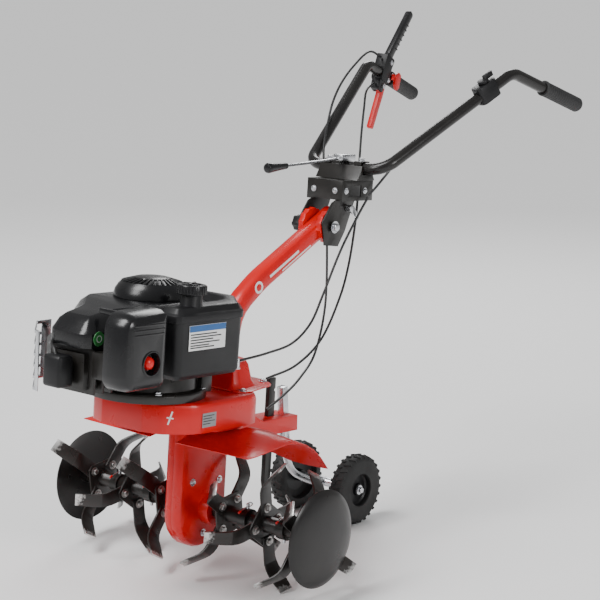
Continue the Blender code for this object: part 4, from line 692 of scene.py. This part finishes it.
settle(joinAll(straps), "clamp_straps", "blackPaint", "handlebars")
screws = [addBolt((hand * 0.0466, y, 0.6210), (hand, 0, 0), 0.0044, 0.0028)
          for hand in (-1, 1) for y in (0.3555, 0.4200)]
screws += [addBolt((x, 0.3418, 0.6210), (0, -1, 0), 0.0044, 0.0028) for x in (-0.028, 0.028)]
settle(joinAll(screws), "head_screws", "zinc", "head")
flange = [math.radians(a) for a in (35, 145, 215, 325)]
screws = [addBolt((cx + 0.1035 * math.cos(a), cy + 0.1035 * math.sin(a), 0.2626), (0, 0, 1), 0.0054, 0.0044)
          for a in flange]
settle(joinAll(screws), "engine_bolts", "zinc", "chassis")
print("marks and screws made")

# control cables, each an upper and a lower run that meet at the head
throttleWay = (bendTop - low).normalized()
throttleUp = (Vector((0, 0, 1)) - throttleWay * throttleWay.z).normalized()
throttleSide = throttleWay.cross(throttleUp).normalized()
throttleAt = low + throttleWay * 0.318


def byThrottle(x, y, z):
    return throttleAt + throttleSide * x + throttleWay * y + throttleUp * z


cableLook = {"radius": 0.0026, "spacing": 0.010}
cableRuns = {
    "forward_cable_upper": [control @ Vector((0, -0.019, 0.034)), (-0.1970, 0.7313, 0.9150), (-0.1900, 0.6644, 0.8782),
                            (-0.1780, 0.6078, 0.8386), (-0.1600, 0.5592, 0.7982), (-0.1270, 0.5031, 0.7552),
                            (-0.1000, 0.4603, 0.7175), (-0.0840, 0.4400, 0.6820), (-0.0680, 0.4310, 0.6400),
                            (-0.0620, 0.4237, 0.6129)],
    "forward_cable_lower": [(-0.0615, 0.4235, 0.6090), (-0.0580, 0.4260, 0.5600), (-0.0450, 0.4226, 0.4786),
                            (-0.0100, 0.3820, 0.3687), (0.0450, 0.2863, 0.2866), (0.0850, 0.1900, 0.2500),
                            (0.1120, 0.1080, 0.2290), (0.1335, 0.0300, 0.2130)],
    "reverse_cable_upper": [control @ Vector((0, -0.024, -0.030)), (-0.1850, 0.7150, 0.8250), (-0.1500, 0.6630, 0.7860),
                            (-0.1100, 0.6060, 0.7410), (-0.0750, 0.5580, 0.6980), (-0.0450, 0.5180, 0.6530),
                            (-0.0150, 0.4800, 0.6020)],
    "reverse_cable_lower": [(-0.0140, 0.4785, 0.5985), (0.0000, 0.4570, 0.5480), (0.0100, 0.4300, 0.4620),
                            (0.0260, 0.3840, 0.3930), (0.0420, 0.3085, 0.3130), (0.0500, 0.2193, 0.2680),
                            (0.0600, 0.1150, 0.2530)],
    "throttle_cable_upper": [byThrottle(-0.0170, -0.0325, 0), byThrottle(-0.0180, -0.080, 0),
                             byThrottle(-0.0185, -0.160, 0), byThrottle(-0.0185, -0.235, -0.002),
                             (0.0880, 0.4560, 0.6740), (0.0750, 0.4300, 0.6380), (0.0620, 0.4150, 0.6129)],
    "throttle_cable_lower": [(0.0610, 0.4140, 0.6090), (0.0500, 0.3940, 0.5650), (0.0500, 0.3447, 0.4974),
                             (0.0540, 0.2883, 0.4072), (0.0620, 0.2433, 0.3542), (0.0760, 0.1700, 0.3220),
                             (0.0950, 0.0700, 0.3140), (0.1050, -0.0225, 0.3100)],
}
for name, knots in cableRuns.items():
    run = addTube(smoothRun(knots, cableLook["spacing"]), cableLook["radius"], 4)
    onlySelect(run)
    run.matrix_world = levelFrame @ run.matrix_world
    bpy.ops.object.transform_apply(location=True, rotation=True, scale=True)
    bpy.ops.object.shade_smooth_by_angle(angle=math.radians(50))
    run.name = name + "_sheath"
    run.data.materials.clear()
    run.data.materials.append(mats["cableSheath"])
    if name.endswith("upper"):
        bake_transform(run)
    else:
        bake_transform(run)
    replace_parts(run, name)
print("cables made")

# floor, backdrop light and lamps
bpy.ops.object.select_all(action="DESELECT")
bpy.ops.mesh.primitive_plane_add(size=60)
floor = bpy.context.object
floor.name = "studio_floor"
paper = bpy.data.materials.new("paperWhite")
paper.use_nodes = True
paper.node_tree.nodes["Principled BSDF"].inputs["Base Color"].default_value = (0.90, 0.90, 0.90, 1)
paper.node_tree.nodes["Principled BSDF"].inputs["Roughness"].default_value = 0.9
floor.data.materials.append(paper)
sky = bpy.context.scene.world or bpy.data.worlds.new("studio")
bpy.context.scene.world = sky
sky.use_nodes = True
sky.node_tree.nodes["Background"].inputs["Color"].default_value = (1, 1, 1, 1)
seen = sky.node_tree.nodes.new("ShaderNodeLightPath")
strength = sky.node_tree.nodes.new("ShaderNodeMath")
strength.operation = "MULTIPLY_ADD"
strength.inputs[1].default_value = 0.75
strength.inputs[2].default_value = 0.30
sky.node_tree.links.new(seen.outputs["Is Camera Ray"], strength.inputs[0])
sky.node_tree.links.new(strength.outputs[0], sky.node_tree.nodes["Background"].inputs["Strength"])
bpy.ops.object.light_add(type="SUN", location=(0, 0, 4), rotation=(math.radians(24), math.radians(-14), 0))
bpy.context.object.data.energy = 2.3
bpy.context.object.data.angle = math.radians(25)
lamps = {"key": ((-0.6, -2.8, 2.6), 48, 1.1), "side": ((3.0, -0.4, 1.7), 36, 0.9), "back": ((-1.5, 2.4, 2.4), 40, 1.4)}
for name, (spot, power, size) in lamps.items():
    bpy.ops.object.light_add(type="AREA", location=spot)
    lamp = bpy.context.object
    lamp.name = "lamp_" + name
    lamp.data.energy = power
    lamp.data.size = size
    lamp.rotation_euler = (Vector(spot) - Vector((0, -0.2, 0.45))).to_track_quat("Z", "Y").to_euler()
print("studio ready")
